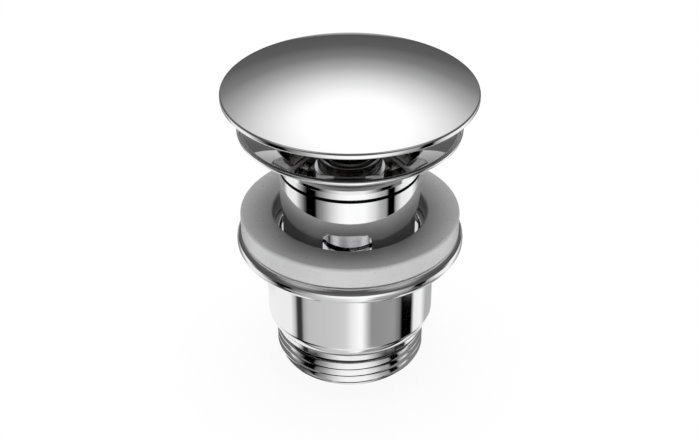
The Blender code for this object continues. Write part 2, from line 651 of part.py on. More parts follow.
def make_plunger(material):
    """Rod and drum in one. The heart-shaped track round the drum makes the click."""
    tap_foot = ROD_TOP - STUD_IN_ROD - GAP
    corners = [
        (SPRING_BORE_RADIUS, DRUM_FOOT),
        (DRUM_RADIUS, DRUM_FOOT),
        (DRUM_RADIUS, DRUM_TOP),
        (ROD_RADIUS, DRUM_TOP),
        (ROD_RADIUS, ROD_TOP - STUD_CHAMFER),
        (ROD_RADIUS - STUD_CHAMFER, ROD_TOP),
        (STUD_HOLE_RADIUS, ROD_TOP),
        (STUD_HOLE_RADIUS, tap_foot),
        (0, tap_foot - STUD_HOLE_RADIUS / 2),
        (0, SPRING_ROOF),
        (SPRING_BORE_RADIUS, SPRING_ROOF),
    ]
    # The outline meets the axis between the tapped hole and the spring bore.
    start = corners.index((0, SPRING_ROOF))
    corners = corners[start:] + corners[:start]
    plunger = turned("plunger", corners, material, closed=False)
    plunger.rotation_euler.z = DRUM_FACET_TURN
    top = STROKE + TRACK_OVERRUN
    side = DRUM_RADIUS * SWING * top / STROKE
    start = (0, 0)
    pressed_one_way = (-side, top)
    latched = (0, top - LATCH_DROP)
    pressed_other_way = (side, top)
    legs = [
        (start, pressed_one_way),
        (pressed_one_way, latched),
        (latched, pressed_other_way),
        (pressed_other_way, start),
    ]
    for i, (foot, head) in enumerate(legs):
        floor = TRACK_FLOOR_RADIUS - i * TRACK_LEG_STEP
        half_width = TRACK_HALF_WIDTH + i * TRACK_WIDENING
        cutter = make_track_cutter(f"track_leg_{i + 1}", foot, head, half_width, floor)
        combine(plunger, cutter, "DIFFERENCE")
    return plunger


def make_track_cutter(name, foot, head, half_width, floor):
    """A round-ended bar along one leg of the track, wrapped round the drum."""
    bm = bmesh.new()
    heading = atan2(head[1] - foot[1], head[0] - foot[0])
    rim = []
    for centre, turn in ((foot, heading + pi / 2), (head, heading - pi / 2)):
        for i in range(TRACK_END_STEPS + 1):
            angle = turn + pi * i / TRACK_END_STEPS
            across = centre[0] + half_width * cos(angle)
            along = centre[1] + half_width * sin(angle)
            rim.append(bm.verts.new((across, 0, along)))
    bm.faces.new(rim)
    low = min(vert.co.x for vert in rim)
    high = max(vert.co.x for vert in rim)
    strips = ceil((high - low) / TRACK_STRIP)
    for i in range(1, strips):
        place = (low + (high - low) * i / strips, 0, 0)
        geometry = bm.verts[:] + bm.edges[:] + bm.faces[:]
        bmesh.ops.bisect_plane(bm, geom=geometry, plane_co=place, plane_no=(1, 0, 0))
    bmesh.ops.triangulate(bm, faces=bm.faces)
    sheet = bm.faces[:]
    raised = bmesh.ops.extrude_face_region(bm, geom=sheet, use_keep_orig=True)["geom"]
    outer = {part for part in raised if isinstance(part, bmesh.types.BMVert)}
    for vert in bm.verts:
        radius = DRUM_RADIUS + PUSH_PAST if vert in outer else floor
        angle = PIN_DIRECTION + vert.co.x / DRUM_RADIUS
        vert.co = (radius * cos(angle), radius * sin(angle), vert.co.z)
    return add_object(name, bm, None, PIN_HEIGHT)


def wire(name, points, radius, material, height):
    """A round wire with closed ends along a smooth run of points."""
    curve = bpy.data.curves.new(name, "CURVE")
    curve.dimensions = "3D"
    curve.bevel_depth = radius
    curve.bevel_resolution = WIRE_SIDES
    curve.use_fill_caps = True
    spline = curve.splines.new("POLY")
    spline.points.add(len(points) - 1)
    for place, point in zip(spline.points, points):
        place.co = (*point, 1.0)
    curve.materials.append(material)
    item = bpy.data.objects.new(name, curve)
    item.location.z = height
    bpy.context.scene.collection.objects.link(item)
    return item


def make_follower_clip(material):
    """A C of wire in the housing's groove, with one end bent in to run in the track."""
    tip_radius = TRACK_FLOOR_RADIUS + GAP
    bend = CLIP_BEND_RADIUS
    # The bend's centre lies beside the straight leg and inside the ring.
    bend_centre = Vector((sqrt((CLIP_RADIUS - bend) ** 2 - bend**2), bend))
    ring_start = atan2(bend_centre.y, bend_centre.x)
    points = [Vector((tip_radius, 0))]
    bend_turn = pi / 2 + ring_start
    for i in range(CLIP_BEND_STEPS + 1):
        angle = -pi / 2 + bend_turn * i / CLIP_BEND_STEPS
        points.append(bend_centre + bend * Vector((cos(angle), sin(angle))))
    ring_steps = ceil(CLIP_WRAP / CLIP_FACET)
    for i in range(1, ring_steps + 1):
        angle = ring_start + CLIP_WRAP * i / ring_steps
        points.append(CLIP_RADIUS * Vector((cos(angle), sin(angle))))
    clip = wire("follower_clip", [(p.x, p.y, 0) for p in points], CLIP_WIRE_RADIUS, material, PIN_HEIGHT)
    clip.rotation_euler.z = PIN_DIRECTION
    return clip


def make_return_spring(material):
    """Compression spring between the seat and the roof of the drum's bore."""
    length = SPRING_ROOF - SEAT_TOP - 2 * (GAP + SPRING_WIRE_RADIUS)
    count = SPRING_TURNS * SPRING_POINTS
    points = []
    for i in range(count + 1):
        angle = 2 * pi * i / SPRING_POINTS
        across = SPRING_MEAN_RADIUS * cos(angle)
        along = SPRING_MEAN_RADIUS * sin(angle)
        points.append((across, along, length * i / count))
    foot = SEAT_TOP + GAP + SPRING_WIRE_RADIUS
    return wire("return_spring", points, SPRING_WIRE_RADIUS, material, foot)


def make_spring_seat(material):
    """Plug with a spigot for the spring, a drain hole and a screwdriver slot."""
    radius = HOUSING_RADIUS - SEAT_WALL - GAP
    corners = [
        (SEAT_HOLE_RADIUS, 0),
        (radius, 0),
        (radius, SEAT_LENGTH),
        (SPIGOT_RADIUS, SEAT_LENGTH),
        (SPIGOT_RADIUS, SEAT_LENGTH + SPIGOT_LENGTH),
        (SEAT_HOLE_RADIUS, SEAT_LENGTH + SPIGOT_LENGTH),
    ]
    seat = turned("spring_seat", corners, material, HOUSING_FOOT)
    groove = oblong(SEAT_SLOT_WIDTH, 2 * radius + PUSH_PAST)
    slot = prism("seat_slot", groove, -PUSH_PAST, SEAT_SLOT_DEPTH, HOUSING_FOOT)
    combine(seat, slot, "DIFFERENCE")
    return seat


def make_retaining_ring(material):
    """Split ring that springs into the groove above the bush."""
    outer = BUSH_RADIUS + RING_BITE
    corners = [(outer - RING_WIDTH, 0), (outer, 0), (outer, RING_THICK), (outer - RING_WIDTH, RING_THICK)]
    height = SHOULDER + BUSH_ABOVE + BUSH_LENGTH + GAP
    ring = turned("retaining_ring", corners, material, height, arc=2 * pi - RING_SPLIT)
    ring.rotation_euler.z = RING_SPLIT / 2
    return ring


def make_guide_bush(material):
    inner = ROD_BORE_RADIUS
    corners = [(inner, 0), (BUSH_RADIUS, 0), (BUSH_RADIUS, BUSH_LENGTH), (inner, BUSH_LENGTH)]
    return turned("guide_bush", corners, material, SHOULDER + BUSH_ABOVE)


def make_washer(material):
    inner = HOUSING_HOLE_RADIUS
    outer = SPIDER_HUB_RADIUS
    corners = [(inner, 0), (outer, 0), (outer, WASHER_THICK), (inner, WASHER_THICK)]
    return turned("cartridge_washer", corners, material, SPIDER_FOOT - GAP - WASHER_THICK)


def make_cap_stud(material):
    foot = ROD_TOP - STUD_IN_ROD
    length = BOSS_FOOT + STUD_IN_CAP - foot
    corners = [
        (0, 0),
        (STUD_RADIUS - STUD_CHAMFER, 0),
        (STUD_RADIUS, STUD_CHAMFER),
        (STUD_RADIUS, length - STUD_CHAMFER),
        (STUD_RADIUS - STUD_CHAMFER, length),
        (0, length),
    ]
    return turned("cap_stud", corners, material, foot, closed=False)


def make_plate_washer(material):
    inner = STUD_HOLE_RADIUS
    outer = PLATE_WASHER_RADIUS
    corners = [(inner, 0), (outer, 0), (outer, PLATE_WASHER_THICK), (inner, PLATE_WASHER_THICK)]
    return turned("plate_washer", corners, material, PLATE_WASHER_FOOT)


def make_stopper_plate(material):
    """Disc with a hub on the stud and a tongue that grips the stopper seal."""
    disc_foot = PLATE_HUB_DEPTH
    disc_top = PLATE_HUB_DEPTH + PLATE_THICK
    tongue_foot = disc_foot + (PLATE_THICK - TONGUE_THICK) / 2
    corners = [
        (STUD_HOLE_RADIUS, 0),
        (PLATE_HUB_RADIUS, 0),
        (PLATE_HUB_RADIUS, disc_foot),
        (PLATE_RADIUS, disc_foot),
        (PLATE_RADIUS, tongue_foot),
        (TONGUE_RADIUS, tongue_foot),
        (TONGUE_RADIUS, tongue_foot + TONGUE_THICK),
        (PLATE_RADIUS, tongue_foot + TONGUE_THICK),
        (PLATE_RADIUS, disc_top),
        (STUD_HOLE_RADIUS, disc_top),
    ]
    return turned("stopper_plate", corners, material, PLATE_FOOT, steps=LARGE_STEPS)


def make_stopper_seal(material):
    """Rubber ring on the plate's tongue. Its tapered face closes on the foot of the dish."""
    tongue_foot = PLATE_FOOT + PLATE_HUB_DEPTH + (PLATE_THICK - TONGUE_THICK) / 2
    slot_foot = tongue_foot - GAP
    slot_top = tongue_foot + TONGUE_THICK + GAP
    face = DISH_FOOT + STROKE + GAP
    outer_face = face + (STOPPER_RADIUS - DISH_RADIUS) * DISH_SLOPE
    inner = PLATE_RADIUS + GAP
    corners = [
        (inner, face),
        (DISH_RADIUS, face),
        (STOPPER_RADIUS, outer_face),
        (STOPPER_RADIUS, slot_top + STOPPER_TOP_LIP),
        (inner, slot_top + STOPPER_TOP_LIP),
        (inner, slot_top),
        (TONGUE_RADIUS + GAP, slot_top),
        (TONGUE_RADIUS + GAP, slot_foot),
        (inner, slot_foot),
    ]
    return turned("stopper_seal", corners, material, steps=LARGE_STEPS)


def make_dome_cap(material):
    """Spun shell with a rolled rim and a tapped boss under its middle."""
    rim_top = CAP_RIM_HEIGHT
    outer_dome = dome_points(CAP_RADIUS, CAP_RISE, rim_top)
    inner_edge = CAP_RADIUS - CAP_RIM_WALL
    inner_dome = dome_points(inner_edge, CAP_RISE - CAP_WALL + CAP_RIM_HEIGHT / 2, CAP_RIM_HEIGHT / 2)
    boss_foot = BOSS_FOOT - CAP_RIM_FOOT
    tap = STUD_HOLE_RADIUS
    tap_roof = boss_foot + STUD_IN_CAP + GAP
    boss_meets = [point for point in inner_dome if point[0] < CAP_BOSS_RADIUS][-1]
    corners = [(0, tap_roof), (tap, tap_roof), (tap, boss_foot), (CAP_BOSS_RADIUS, boss_foot)]
    corners.append((CAP_BOSS_RADIUS, boss_meets[1], CAP_BOSS_ROUND))
    corners += [point for point in inner_dome if point[0] > CAP_BOSS_RADIUS + CAP_BOSS_ROUND]
    corners.append((inner_edge, 0, CAP_RIM_INNER_ROUND))
    corners.append((CAP_RADIUS, 0, CAP_RIM_ROUND))
    corners.append((CAP_RADIUS, rim_top, CAP_RIM_ROUND))
    corners += reversed(outer_dome[:-1])
    return turned("dome_cap", corners, material, CAP_RIM_FOOT, steps=LARGE_STEPS, closed=False)


def dome_points(radius, rise, foot):
    """Points down a shallow spherical dome, from the axis to its edge."""
    sphere = (radius**2 + rise**2) / (2 * rise)
    edge = atan2(radius, sphere - rise)
    points = []
    for i in range(DOME_STEPS + 1):
        angle = edge * i / DOME_STEPS
        points.append((sphere * sin(angle), foot + rise - sphere * (1 - cos(angle))))
    return points


def joint_axis(name, height, pieces):
    """An empty on a joint's axis that carries the pieces which move with it."""
    axis = bpy.data.objects.new(name, None)
    axis.empty_display_size = AXIS_MARK
    axis.location.z = height
    bpy.context.scene.collection.objects.link(axis)
    hang_on(axis, pieces)
    return axis


def hang_on(carrier, items):
    """Makes items move with their carrier and leaves them where they are."""
    bpy.context.view_layer.update()
    for item in items:
        item.parent = carrier
        item.matrix_parent_inverse = carrier.matrix_world.inverted()


def build():
    clear_scene()
    chrome = finish("chrome", (0.72, 0.73, 0.74), 1.0, 0.05)
    brass = finish("brass", (0.56, 0.54, 0.50), 1.0, 0.2)
    steel = finish("spring_steel", (0.60, 0.61, 0.62), 1.0, 0.25)
    rubber = finish("black_rubber", (0.03, 0.03, 0.03), 0.0, 0.6)
    pale = finish("pale_seal", (0.62, 0.62, 0.61), 0.0, 0.45)
    plastic = finish("black_acetal", (0.03, 0.03, 0.03), 0.0, 0.4)
    fibre = finish("fibre", (0.35, 0.10, 0.07), 0.0, 0.8)

    nut_height = SPIDER_FOOT - 2 * GAP - WASHER_THICK - LOCK_NUT_HEIGHT
    lock_nut = ("cartridge_lock_nut", HOUSING_HOLE_RADIUS, LOCK_NUT_FLATS, LOCK_NUT_HEIGHT)
    waste_pieces = [
        make_waste_body(chrome),
        make_spider(brass),
        make_housing(chrome),
        make_washer(fibre),
        hex_nut(*lock_nut, brass, nut_height),
        make_spring_seat(brass),
        make_return_spring(steel),
        sealed_by(O_RING_WIRE, "plunger_o_ring", ROD_RADIUS, rubber, SHOULDER + O_RING_ABOVE),
        make_guide_bush(plastic),
        make_retaining_ring(steel),
    ]
    cap_nut = ("cap_lock_nut", STUD_HOLE_RADIUS, CAP_NUT_FLATS, CAP_NUT_HEIGHT)
    cap_pieces = [
        make_dome_cap(chrome),
        make_cap_stud(steel),
        hex_nut(*cap_nut, brass, CAP_NUT_FOOT),
        make_plate_washer(steel),
        make_stopper_plate(plastic),
        make_stopper_seal(rubber),
        make_plunger(brass),
    ]
    make_lower_body(chrome)
    turning = joint_axis("clamp_turn_axis", SEAL_FOOT, [make_sealing_ring(pale)])
    shifting = joint_axis("waste_shift_axis", SEAT_PLANE, waste_pieces)
    pressing = joint_axis("cap_press_axis", ROD_TOP, cap_pieces)
    swinging = joint_axis("clip_swing_axis", PIN_HEIGHT, [make_follower_clip(steel)])
    hang_on(turning, [shifting])
    hang_on(shifting, [pressing, swinging])


build()
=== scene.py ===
# %% [markdown]
# # A pop-up basin waste in polished chrome
#
# A pop-up waste closes the drain of a wash basin. Its cap is pushed down to shut the drain and
# pushed again to open it. Nearly all that shows is polished chrome, and chrome has no colour of
# its own: it looks the way its surroundings look. So this lesson spends its time on two things,
# outlines that are round to the last facet, and a studio that is worth reflecting.
#
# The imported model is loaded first. Every size below is in the same frame, with the end of the
# threaded tail at Z = 0 and the axis of the waste on Z.

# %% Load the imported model
from math import asin, atan2, cos, degrees, hypot, pi, radians, sin, sqrt, tau

import bmesh
import bpy
from mathutils import Matrix, Vector


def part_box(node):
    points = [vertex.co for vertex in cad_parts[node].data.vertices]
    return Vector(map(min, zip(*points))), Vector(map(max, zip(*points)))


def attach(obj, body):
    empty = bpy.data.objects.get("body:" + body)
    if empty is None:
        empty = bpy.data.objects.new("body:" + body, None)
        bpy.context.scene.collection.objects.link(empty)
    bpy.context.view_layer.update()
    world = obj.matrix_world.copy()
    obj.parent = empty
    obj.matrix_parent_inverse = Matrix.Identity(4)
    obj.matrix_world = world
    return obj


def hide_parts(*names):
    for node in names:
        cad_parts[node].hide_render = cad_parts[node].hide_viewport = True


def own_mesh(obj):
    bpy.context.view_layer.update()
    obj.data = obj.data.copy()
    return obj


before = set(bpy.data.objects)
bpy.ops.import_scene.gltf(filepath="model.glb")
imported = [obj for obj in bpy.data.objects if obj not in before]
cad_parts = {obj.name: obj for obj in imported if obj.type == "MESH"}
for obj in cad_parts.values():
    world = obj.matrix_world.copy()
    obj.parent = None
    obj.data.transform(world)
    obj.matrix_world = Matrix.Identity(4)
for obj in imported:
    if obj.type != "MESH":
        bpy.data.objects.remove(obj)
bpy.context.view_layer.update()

MM = 0.001

# %% [markdown]
# ## The camera
#
# The photograph looks down on the waste from the front, close enough for the perspective to
# show. The place of the camera follows from the rings of the object: each ring is a circle in
# space and an ellipse in the picture, and one camera fits them all.

# %% Camera
CAMERA_PLACE = (0.0, -311.1 * MM, 246.65 * MM)
CAMERA_PITCH = radians(33.19)  # below the horizon
CAMERA_SHIFT = -0.0013  # the object stands that little off the middle
LENS = 69.33

camera = bpy.data.objects.new("studio_camera", bpy.data.cameras.new("studio_camera"))
camera.location = CAMERA_PLACE
camera.rotation_euler.x = pi / 2 - CAMERA_PITCH
camera.data.lens = LENS
camera.data.shift_x = CAMERA_SHIFT
camera.data.clip_start = 10 * MM
bpy.context.scene.collection.objects.link(camera)
bpy.context.scene.camera = camera
print("camera looks down by", round(degrees(CAMERA_PITCH), 1), "degrees")

# %% [markdown]
# ## Helpers for materials
#
# Each finish is a Principled shader. What makes it look real is a little unevenness: polished
# chrome has faint wipe marks in its gloss, and moulded rubber has a fine grain. Both come from
# noise on Object coordinates, so the pattern stays on the piece when the piece moves.

# %% Node helpers
def feed(tree, sockets, values):
    """Gives sockets their values. A value may be a number or another socket."""
    for socket, value in zip(sockets, values):
        if isinstance(value, (int, float)):
            socket.default_value = value
        else:
            tree.links.new(value, socket)


def math_node(tree, operation, *values):
    """The result of a Math node."""
    node = tree.nodes.new("ShaderNodeMath")
    node.operation = operation
    feed(tree, node.inputs, values)
    return node.outputs[0]


def object_place(tree):
    """The place of a point on the piece, as a vector and as its three parts."""
    place = tree.nodes.new("ShaderNodeTexCoord").outputs["Object"]
    parts = tree.nodes.new("ShaderNodeSeparateXYZ")
    tree.links.new(place, parts.inputs[0])
    return place, parts.outputs


# %% Material helpers
NOISE_RANGE = (0.3, 0.7)  # most of a noise texture's values lie between these


def shader_socket(material, name):
    """An input of the material's Principled shader."""
    return material.node_tree.nodes["Principled BSDF"].inputs[name]


def new_finish(name, colour, metallic, roughness):
    """A Principled material."""
    material = bpy.data.materials.new(name)
    material.use_nodes = True
    shader_socket(material, "Base Color").default_value = (*colour, 1.0)
    shader_socket(material, "Metallic").default_value = metallic
    shader_socket(material, "Roughness").default_value = roughness
    return material


def noise(material, scale, detail=3.0, stretch=(1.0, 1.0, 1.0)):
    """A noise texture on Object coordinates, stretched along the axes as asked."""
    nodes, links = material.node_tree.nodes, material.node_tree.links
    mapping = nodes.new("ShaderNodeMapping")
    mapping.inputs["Scale"].default_value = stretch
    texture = nodes.new("ShaderNodeTexNoise")
    texture.inputs["Scale"].default_value = scale
    texture.inputs["Detail"].default_value = detail
    links.new(object_place(material.node_tree)[0], mapping.inputs["Vector"])
    links.new(mapping.outputs["Vector"], texture.inputs["Vector"])
    return texture.outputs["Fac"]


def vary(material, signal, low, high):
    """Drives the shader's roughness between two values."""
    spread = material.node_tree.nodes.new("ShaderNodeMapRange")
    feed(material.node_tree, spread.inputs, (signal, *NOISE_RANGE, low, high))
    material.node_tree.links.new(spread.outputs["Result"], shader_socket(material, "Roughness"))


def tint(material, signal, dark, light, span=NOISE_RANGE):
    """Drives the shader's colour between two colours."""
    ramp = material.node_tree.nodes.new("ShaderNodeValToRGB")
    for element, position, colour in zip(ramp.color_ramp.elements, span, (dark, light)):
        element.position = position
        element.color = (*colour, 1.0)
    material.node_tree.links.new(signal, ramp.inputs["Fac"])
    material.node_tree.links.new(ramp.outputs["Color"], shader_socket(material, "Base Color"))


def raise_grain(material, signal, depth):
    """Adds a bump of that depth in metres."""
    bump = material.node_tree.nodes.new("ShaderNodeBump")
    bump.inputs["Strength"].default_value = 1.0
    bump.inputs["Distance"].default_value = depth
    material.node_tree.links.new(signal, bump.inputs["Height"])
    material.node_tree.links.new(bump.outputs["Normal"], shader_socket(material, "Normal"))


def mark(material, gloss, depth, scale, detail, stretch=(1.0, 1.0, 1.0)):
    """Lets the roughness and the surface of a finish follow one noise, and gives that back."""
    signal = noise(material, scale, detail, stretch)
    vary(material, signal, *gloss)
    raise_grain(material, signal, depth * MM)
    return signal


# %% [markdown]
# ## The finishes
#
# Chrome plate reflects nearly all the light evenly, with a roughness of a few hundredths. Two
# things break its evenness: wipe marks on the polished faces, and painted shade, a near-black
# colour painted where shade falls at the bottom of a groove, in the corner under the cylinder and
# where the tail's thread runs out. The bands are found by their height on the object, with a
# Compare node for each.

# %% Chrome
CHROME = (0.93, 0.93, 0.935)
# Painted shade: a near-black colour for bands where shade falls in a groove and in corners.
PAINTED_GROOVE_SHADE = (0.05, 0.05, 0.052)
PAINTED_SHADE_BANDS = ((61.1, 0.52), (12.75, 0.85), (9.95, 0.22))  # middle and half width, mm

chrome = new_finish("polished_chrome", CHROME, 1.0, 0.03)
wipe_marks = noise(chrome, 60.0, detail=4.0, stretch=(1.0, 1.0, 0.4))
vary(chrome, wipe_marks, 0.02, 0.045)
chrome_height = object_place(chrome.node_tree)[1]["Z"]
# Painted shade: a mask of bands by height that turns the chrome near black there.
painted_shade = 0.0
for middle, half in PAINTED_SHADE_BANDS:
    band = math_node(chrome.node_tree, "COMPARE", chrome_height, middle * MM, half * MM)
    painted_shade = math_node(chrome.node_tree, "MAXIMUM", painted_shade, band)
tint(chrome, painted_shade, CHROME, PAINTED_GROOVE_SHADE, span=(0.0, 1.0))

# %% [markdown]
# The inside of the cap and the cartridge are only turned or blasted before plating. They are
# duller, and their grain shows in what the dish mirrors.

# %% Duller chrome
satin_chrome = new_finish("satin_chrome", (0.42, 0.42, 0.425), 1.0, 0.4)
blast_marks = mark(satin_chrome, (0.3, 0.5), 0.04, 1100.0, 3.0)
tint(satin_chrome, blast_marks, (0.2, 0.2, 0.2), (0.64, 0.64, 0.645))

turned_chrome = new_finish("turned_chrome", (0.85, 0.85, 0.86), 1.0, 0.12)
mark(turned_chrome, (0.06, 0.16), 0.002, 900.0, 2.0, stretch=(0.02, 0.02, 1.0))
print("chrome finishes:", chrome.name, satin_chrome.name, turned_chrome.name)

# %% [markdown]
# The turned brass inside is nickel plated, a warm grey with rings left by the tool. Spring, clip
# and washers are stainless steel, drawn or rolled, a little darker and bluer than the chrome.

# %% Nickelled brass and steel
nickel = new_finish("nickelled_brass", (0.56, 0.54, 0.50), 1.0, 0.25)
mark(nickel, (0.14, 0.3), 0.003, 700.0, 3.0, stretch=(0.05, 0.05, 1.0))
tint(nickel, noise(nickel, 120.0), (0.50, 0.48, 0.44), (0.61, 0.59, 0.56))

steel = new_finish("drawn_steel", (0.58, 0.59, 0.60), 1.0, 0.22)
mark(steel, (0.15, 0.32), 0.002, 1500.0, 2.0)
tint(steel, noise(steel, 200.0), (0.53, 0.54, 0.55), (0.63, 0.64, 0.65))
print("metal finishes:", nickel.name, steel.name)

# %% [markdown]
# The stopper's rubber and the plate's acetal are black, and differ in their gloss: rubber comes
# matt from its mould, acetal has a soft shine. The sealing ring is a milky, slightly translucent
# rubber, cloudy under its skin. The washer of vulcanised fibre shows short strands.

# %% Rubber, plastic, fibre
rubber = new_finish("moulded_rubber", (0.022, 0.022, 0.023), 0.0, 0.45)
mark(rubber, (0.38, 0.55), 0.008, 1800.0, 2.0)
tint(rubber, noise(rubber, 150.0), (0.018, 0.018, 0.019), (0.03, 0.03, 0.031))

milky = new_finish("milky_rubber", (0.60, 0.60, 0.605), 0.0, 0.32)
mark(milky, (0.26, 0.40), 0.002, 1200.0, 2.0)
tint(milky, noise(milky, 45.0, detail=4.0), (0.57, 0.57, 0.575), (0.63, 0.63, 0.635))
shader_socket(milky, "Subsurface Weight").default_value = 0.25
shader_socket(milky, "Subsurface Radius").default_value = (2 * MM, 2 * MM, 2 * MM)
shader_socket(milky, "Subsurface Scale").default_value = 1.0
shader_socket(milky, "IOR").default_value = 1.75

acetal = new_finish("moulded_acetal", (0.03, 0.03, 0.03), 0.0, 0.38)
mark(acetal, (0.28, 0.42), 0.003, 900.0, 2.0)
tint(acetal, noise(acetal, 90.0), (0.026, 0.026, 0.026), (0.036, 0.036, 0.036))

fibre = new_finish("pressed_fibre", (0.35, 0.10, 0.07), 0.0, 0.8)
strands = noise(fibre, 500.0, detail=5.0, stretch=(1.0, 0.3, 1.0))
tint(fibre, strands, (0.26, 0.07, 0.05), (0.42, 0.14, 0.09))
raise_grain(fibre, strands, 0.01 * MM)
print("other finishes:", rubber.name, milky.name, acetal.name, fibre.name)

# %% [markdown]
# ## Helpers for turned pieces
#
# A lathe makes nearly every piece of a basin waste, and bmesh.ops.spin is a lathe: it sweeps an
# outline round an axis. The outline is a wire of a few corners. Bevelling a corner's vertex
# rounds it. A real mirror shows every fault in the shading, so each long side also gets a point
# close to either end, which keeps the turn of the shading inside the rounded corner.

# %% Outline helpers
STEPS = 192  # facets round a piece that shows
INNER_STEPS = 96  # facets round a piece inside
ROUND_STEPS = 6  # facets in one rounded corner
HOLD = 0.08 * MM  # from a corner to the point that holds its shading
LONG_SIDE = 0.5 * MM
WELD = 0.0005 * MM
ROUND_Z = {"cent": (0, 0, 0), "axis": (0, 0, 1)}


def extent(node):
    """Radius, foot and top of one of the model's solids, in millimetres."""
    low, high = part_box(node)
    return tuple(round(value / MM, 3) for value in (high[0], low[2], high[2]))


def rotate_about_z(bm, angle):
    """Turns all that a bmesh holds about the axis."""
    bmesh.ops.rotate(bm, verts=bm.verts, cent=(0, 0, 0), matrix=Matrix.Rotation(angle, 3, "Z"))


def draw_outline(bm, corners, closed=True):
    """Joins corners (radius, height, round) in millimetres. One without a round stays sharp."""
    verts = [bm.verts.new((radius * MM, 0, height * MM)) for radius, height, *_ in corners]
    for pair in zip(verts, verts[1:]):
        bm.edges.new(pair)
    if closed:
        bm.edges.new((verts[-1], verts[0]))
    for size in sorted({corner[2] for corner in corners if len(corner) > 2}):
        rounded = [vert for vert, corner in zip(verts, corners) if corner[2:] == (size,)]
        shape = {"segments": ROUND_STEPS, "profile": 0.5, "material": -1}
        bmesh.ops.bevel(bm, geom=rounded, offset=size * MM, affect="VERTICES", **shape)


def rectangle(left, right, foot, top, *edge):
    """The corners of a rectangle, all with the same round."""
    return [(left, foot, *edge), (right, foot, *edge), (right, top, *edge), (left, top, *edge)]


def groove(wall, floor, start, end, *edge):
    """The corners of a groove between two heights, in the order in which the outline meets them."""
    return [(wall, start, *edge), (floor, start, *edge), (floor, end, *edge), (wall, end, *edge)]


def hold_corners(bm):
    """Splits every long side close to both of its ends."""
    for side in [edge for edge in bm.edges if edge.calc_length() > LONG_SIDE]:
        start, end = side.verts
        _, near = bmesh.utils.edge_split(side, start, HOLD / side.calc_length())
        rest = next(edge for edge in near.link_edges if end in edge.verts)
        bmesh.utils.edge_split(rest, end, HOLD / rest.calc_length())


def sweep(bm, steps):
    """Spins the outline once round Z and welds the poles."""
    wire = bm.verts[:] + bm.edges[:]
    bmesh.ops.spin(bm, geom=wire, angle=tau, steps=steps, use_merge=True, **ROUND_Z)
    bmesh.ops.remove_doubles(bm, verts=bm.verts, dist=WELD)
    bmesh.ops.recalc_face_normals(bm, faces=bm.faces)


def turned(corners, steps=STEPS, closed=True):
    """A bmesh of one turned form."""
    bm = bmesh.new()
    draw_outline(bm, corners, closed)
    hold_corners(bm)
    sweep(bm, steps)
    return bm


def ring(inner, outer, foot, top, edge, steps=INNER_STEPS):
    """A bmesh of a flat ring with rounded edges. Sizes in millimetres."""
    return turned(rectangle(inner, outer, foot, top, edge), steps)


# %% [markdown]
# A finished piece is put in the scene, told which body of the mechanism it rides on, and takes
# the place of the plain solid that the mechanism was built with.

# %% Piece helpers
SHARP = radians(38)


def as_object(bm, name):
    """Puts a bmesh in the scene as an object and frees it."""
    mesh = bpy.data.meshes.new(name)
    bm.to_mesh(mesh)
    bm.free()
    item = bpy.data.objects.new(name, mesh)
    bpy.context.scene.collection.objects.link(item)
    return item


def cut(item, helper, operation="DIFFERENCE"):
    """Applies a Boolean with a helper object, and removes the helper."""
    modifier = item.modifiers.new("cut", "BOOLEAN")
    modifier.operation = operation
    modifier.solver = "EXACT"
    modifier.object = helper
    graph = bpy.context.evaluated_depsgraph_get()
    result = bpy.data.meshes.new_from_object(item.evaluated_get(graph))
    item.modifiers.clear()
    item.data = result
    bpy.data.objects.remove(helper, do_unlink=True)
    return item


def add_shell(item, other):
    """Adds another bmesh's faces to a piece, as threads are added to a shaft."""
    mesh = bpy.data.meshes.new("shell")
    other.to_mesh(mesh)
    other.free()
    bm = bmesh.new()
    bm.from_mesh(item.data)
    bm.from_mesh(mesh)
    bm.to_mesh(item.data)
    bm.free()
    bpy.data.meshes.remove(mesh)
    return item


def complete(item, body, material, node):
    """Shades a piece, gives it its finish, and puts it on its body in place of its solid."""
    mesh = item.data
    mesh.shade_smooth()
    mesh.set_sharp_from_angle(angle=SHARP)
    mesh.materials.clear()
    mesh.materials.append(material)
    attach(item, body)
    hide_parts(node)
    print(item.name, "has", len(mesh.polygons), "faces on body", body)
    return item


# %% [markdown]
# ## Threads
#
# A thread is a ridge that climbs as it goes round. The same spin operator makes it: given a
# step along the axis, it screws the ridge's section up the shaft. The foot of the section sinks
# into the shaft, so ridge and shaft meet without a gap, and both ends of the ridge fade into
# the shaft as a cutter leaves them.

# %% Thread helper
TURN_STEPS = 96  # facets in one turn of a large thread
FINE_TURN_STEPS = 48  # facets in one turn of a small thread
RUN_OUT = 0.3  # turns over which a thread fades at either end
SINK = 0.12  # mm that the foot of a thread is sunk in
FLANK_SHARE = 0.43  # of the pitch, from a root to the crest's edge


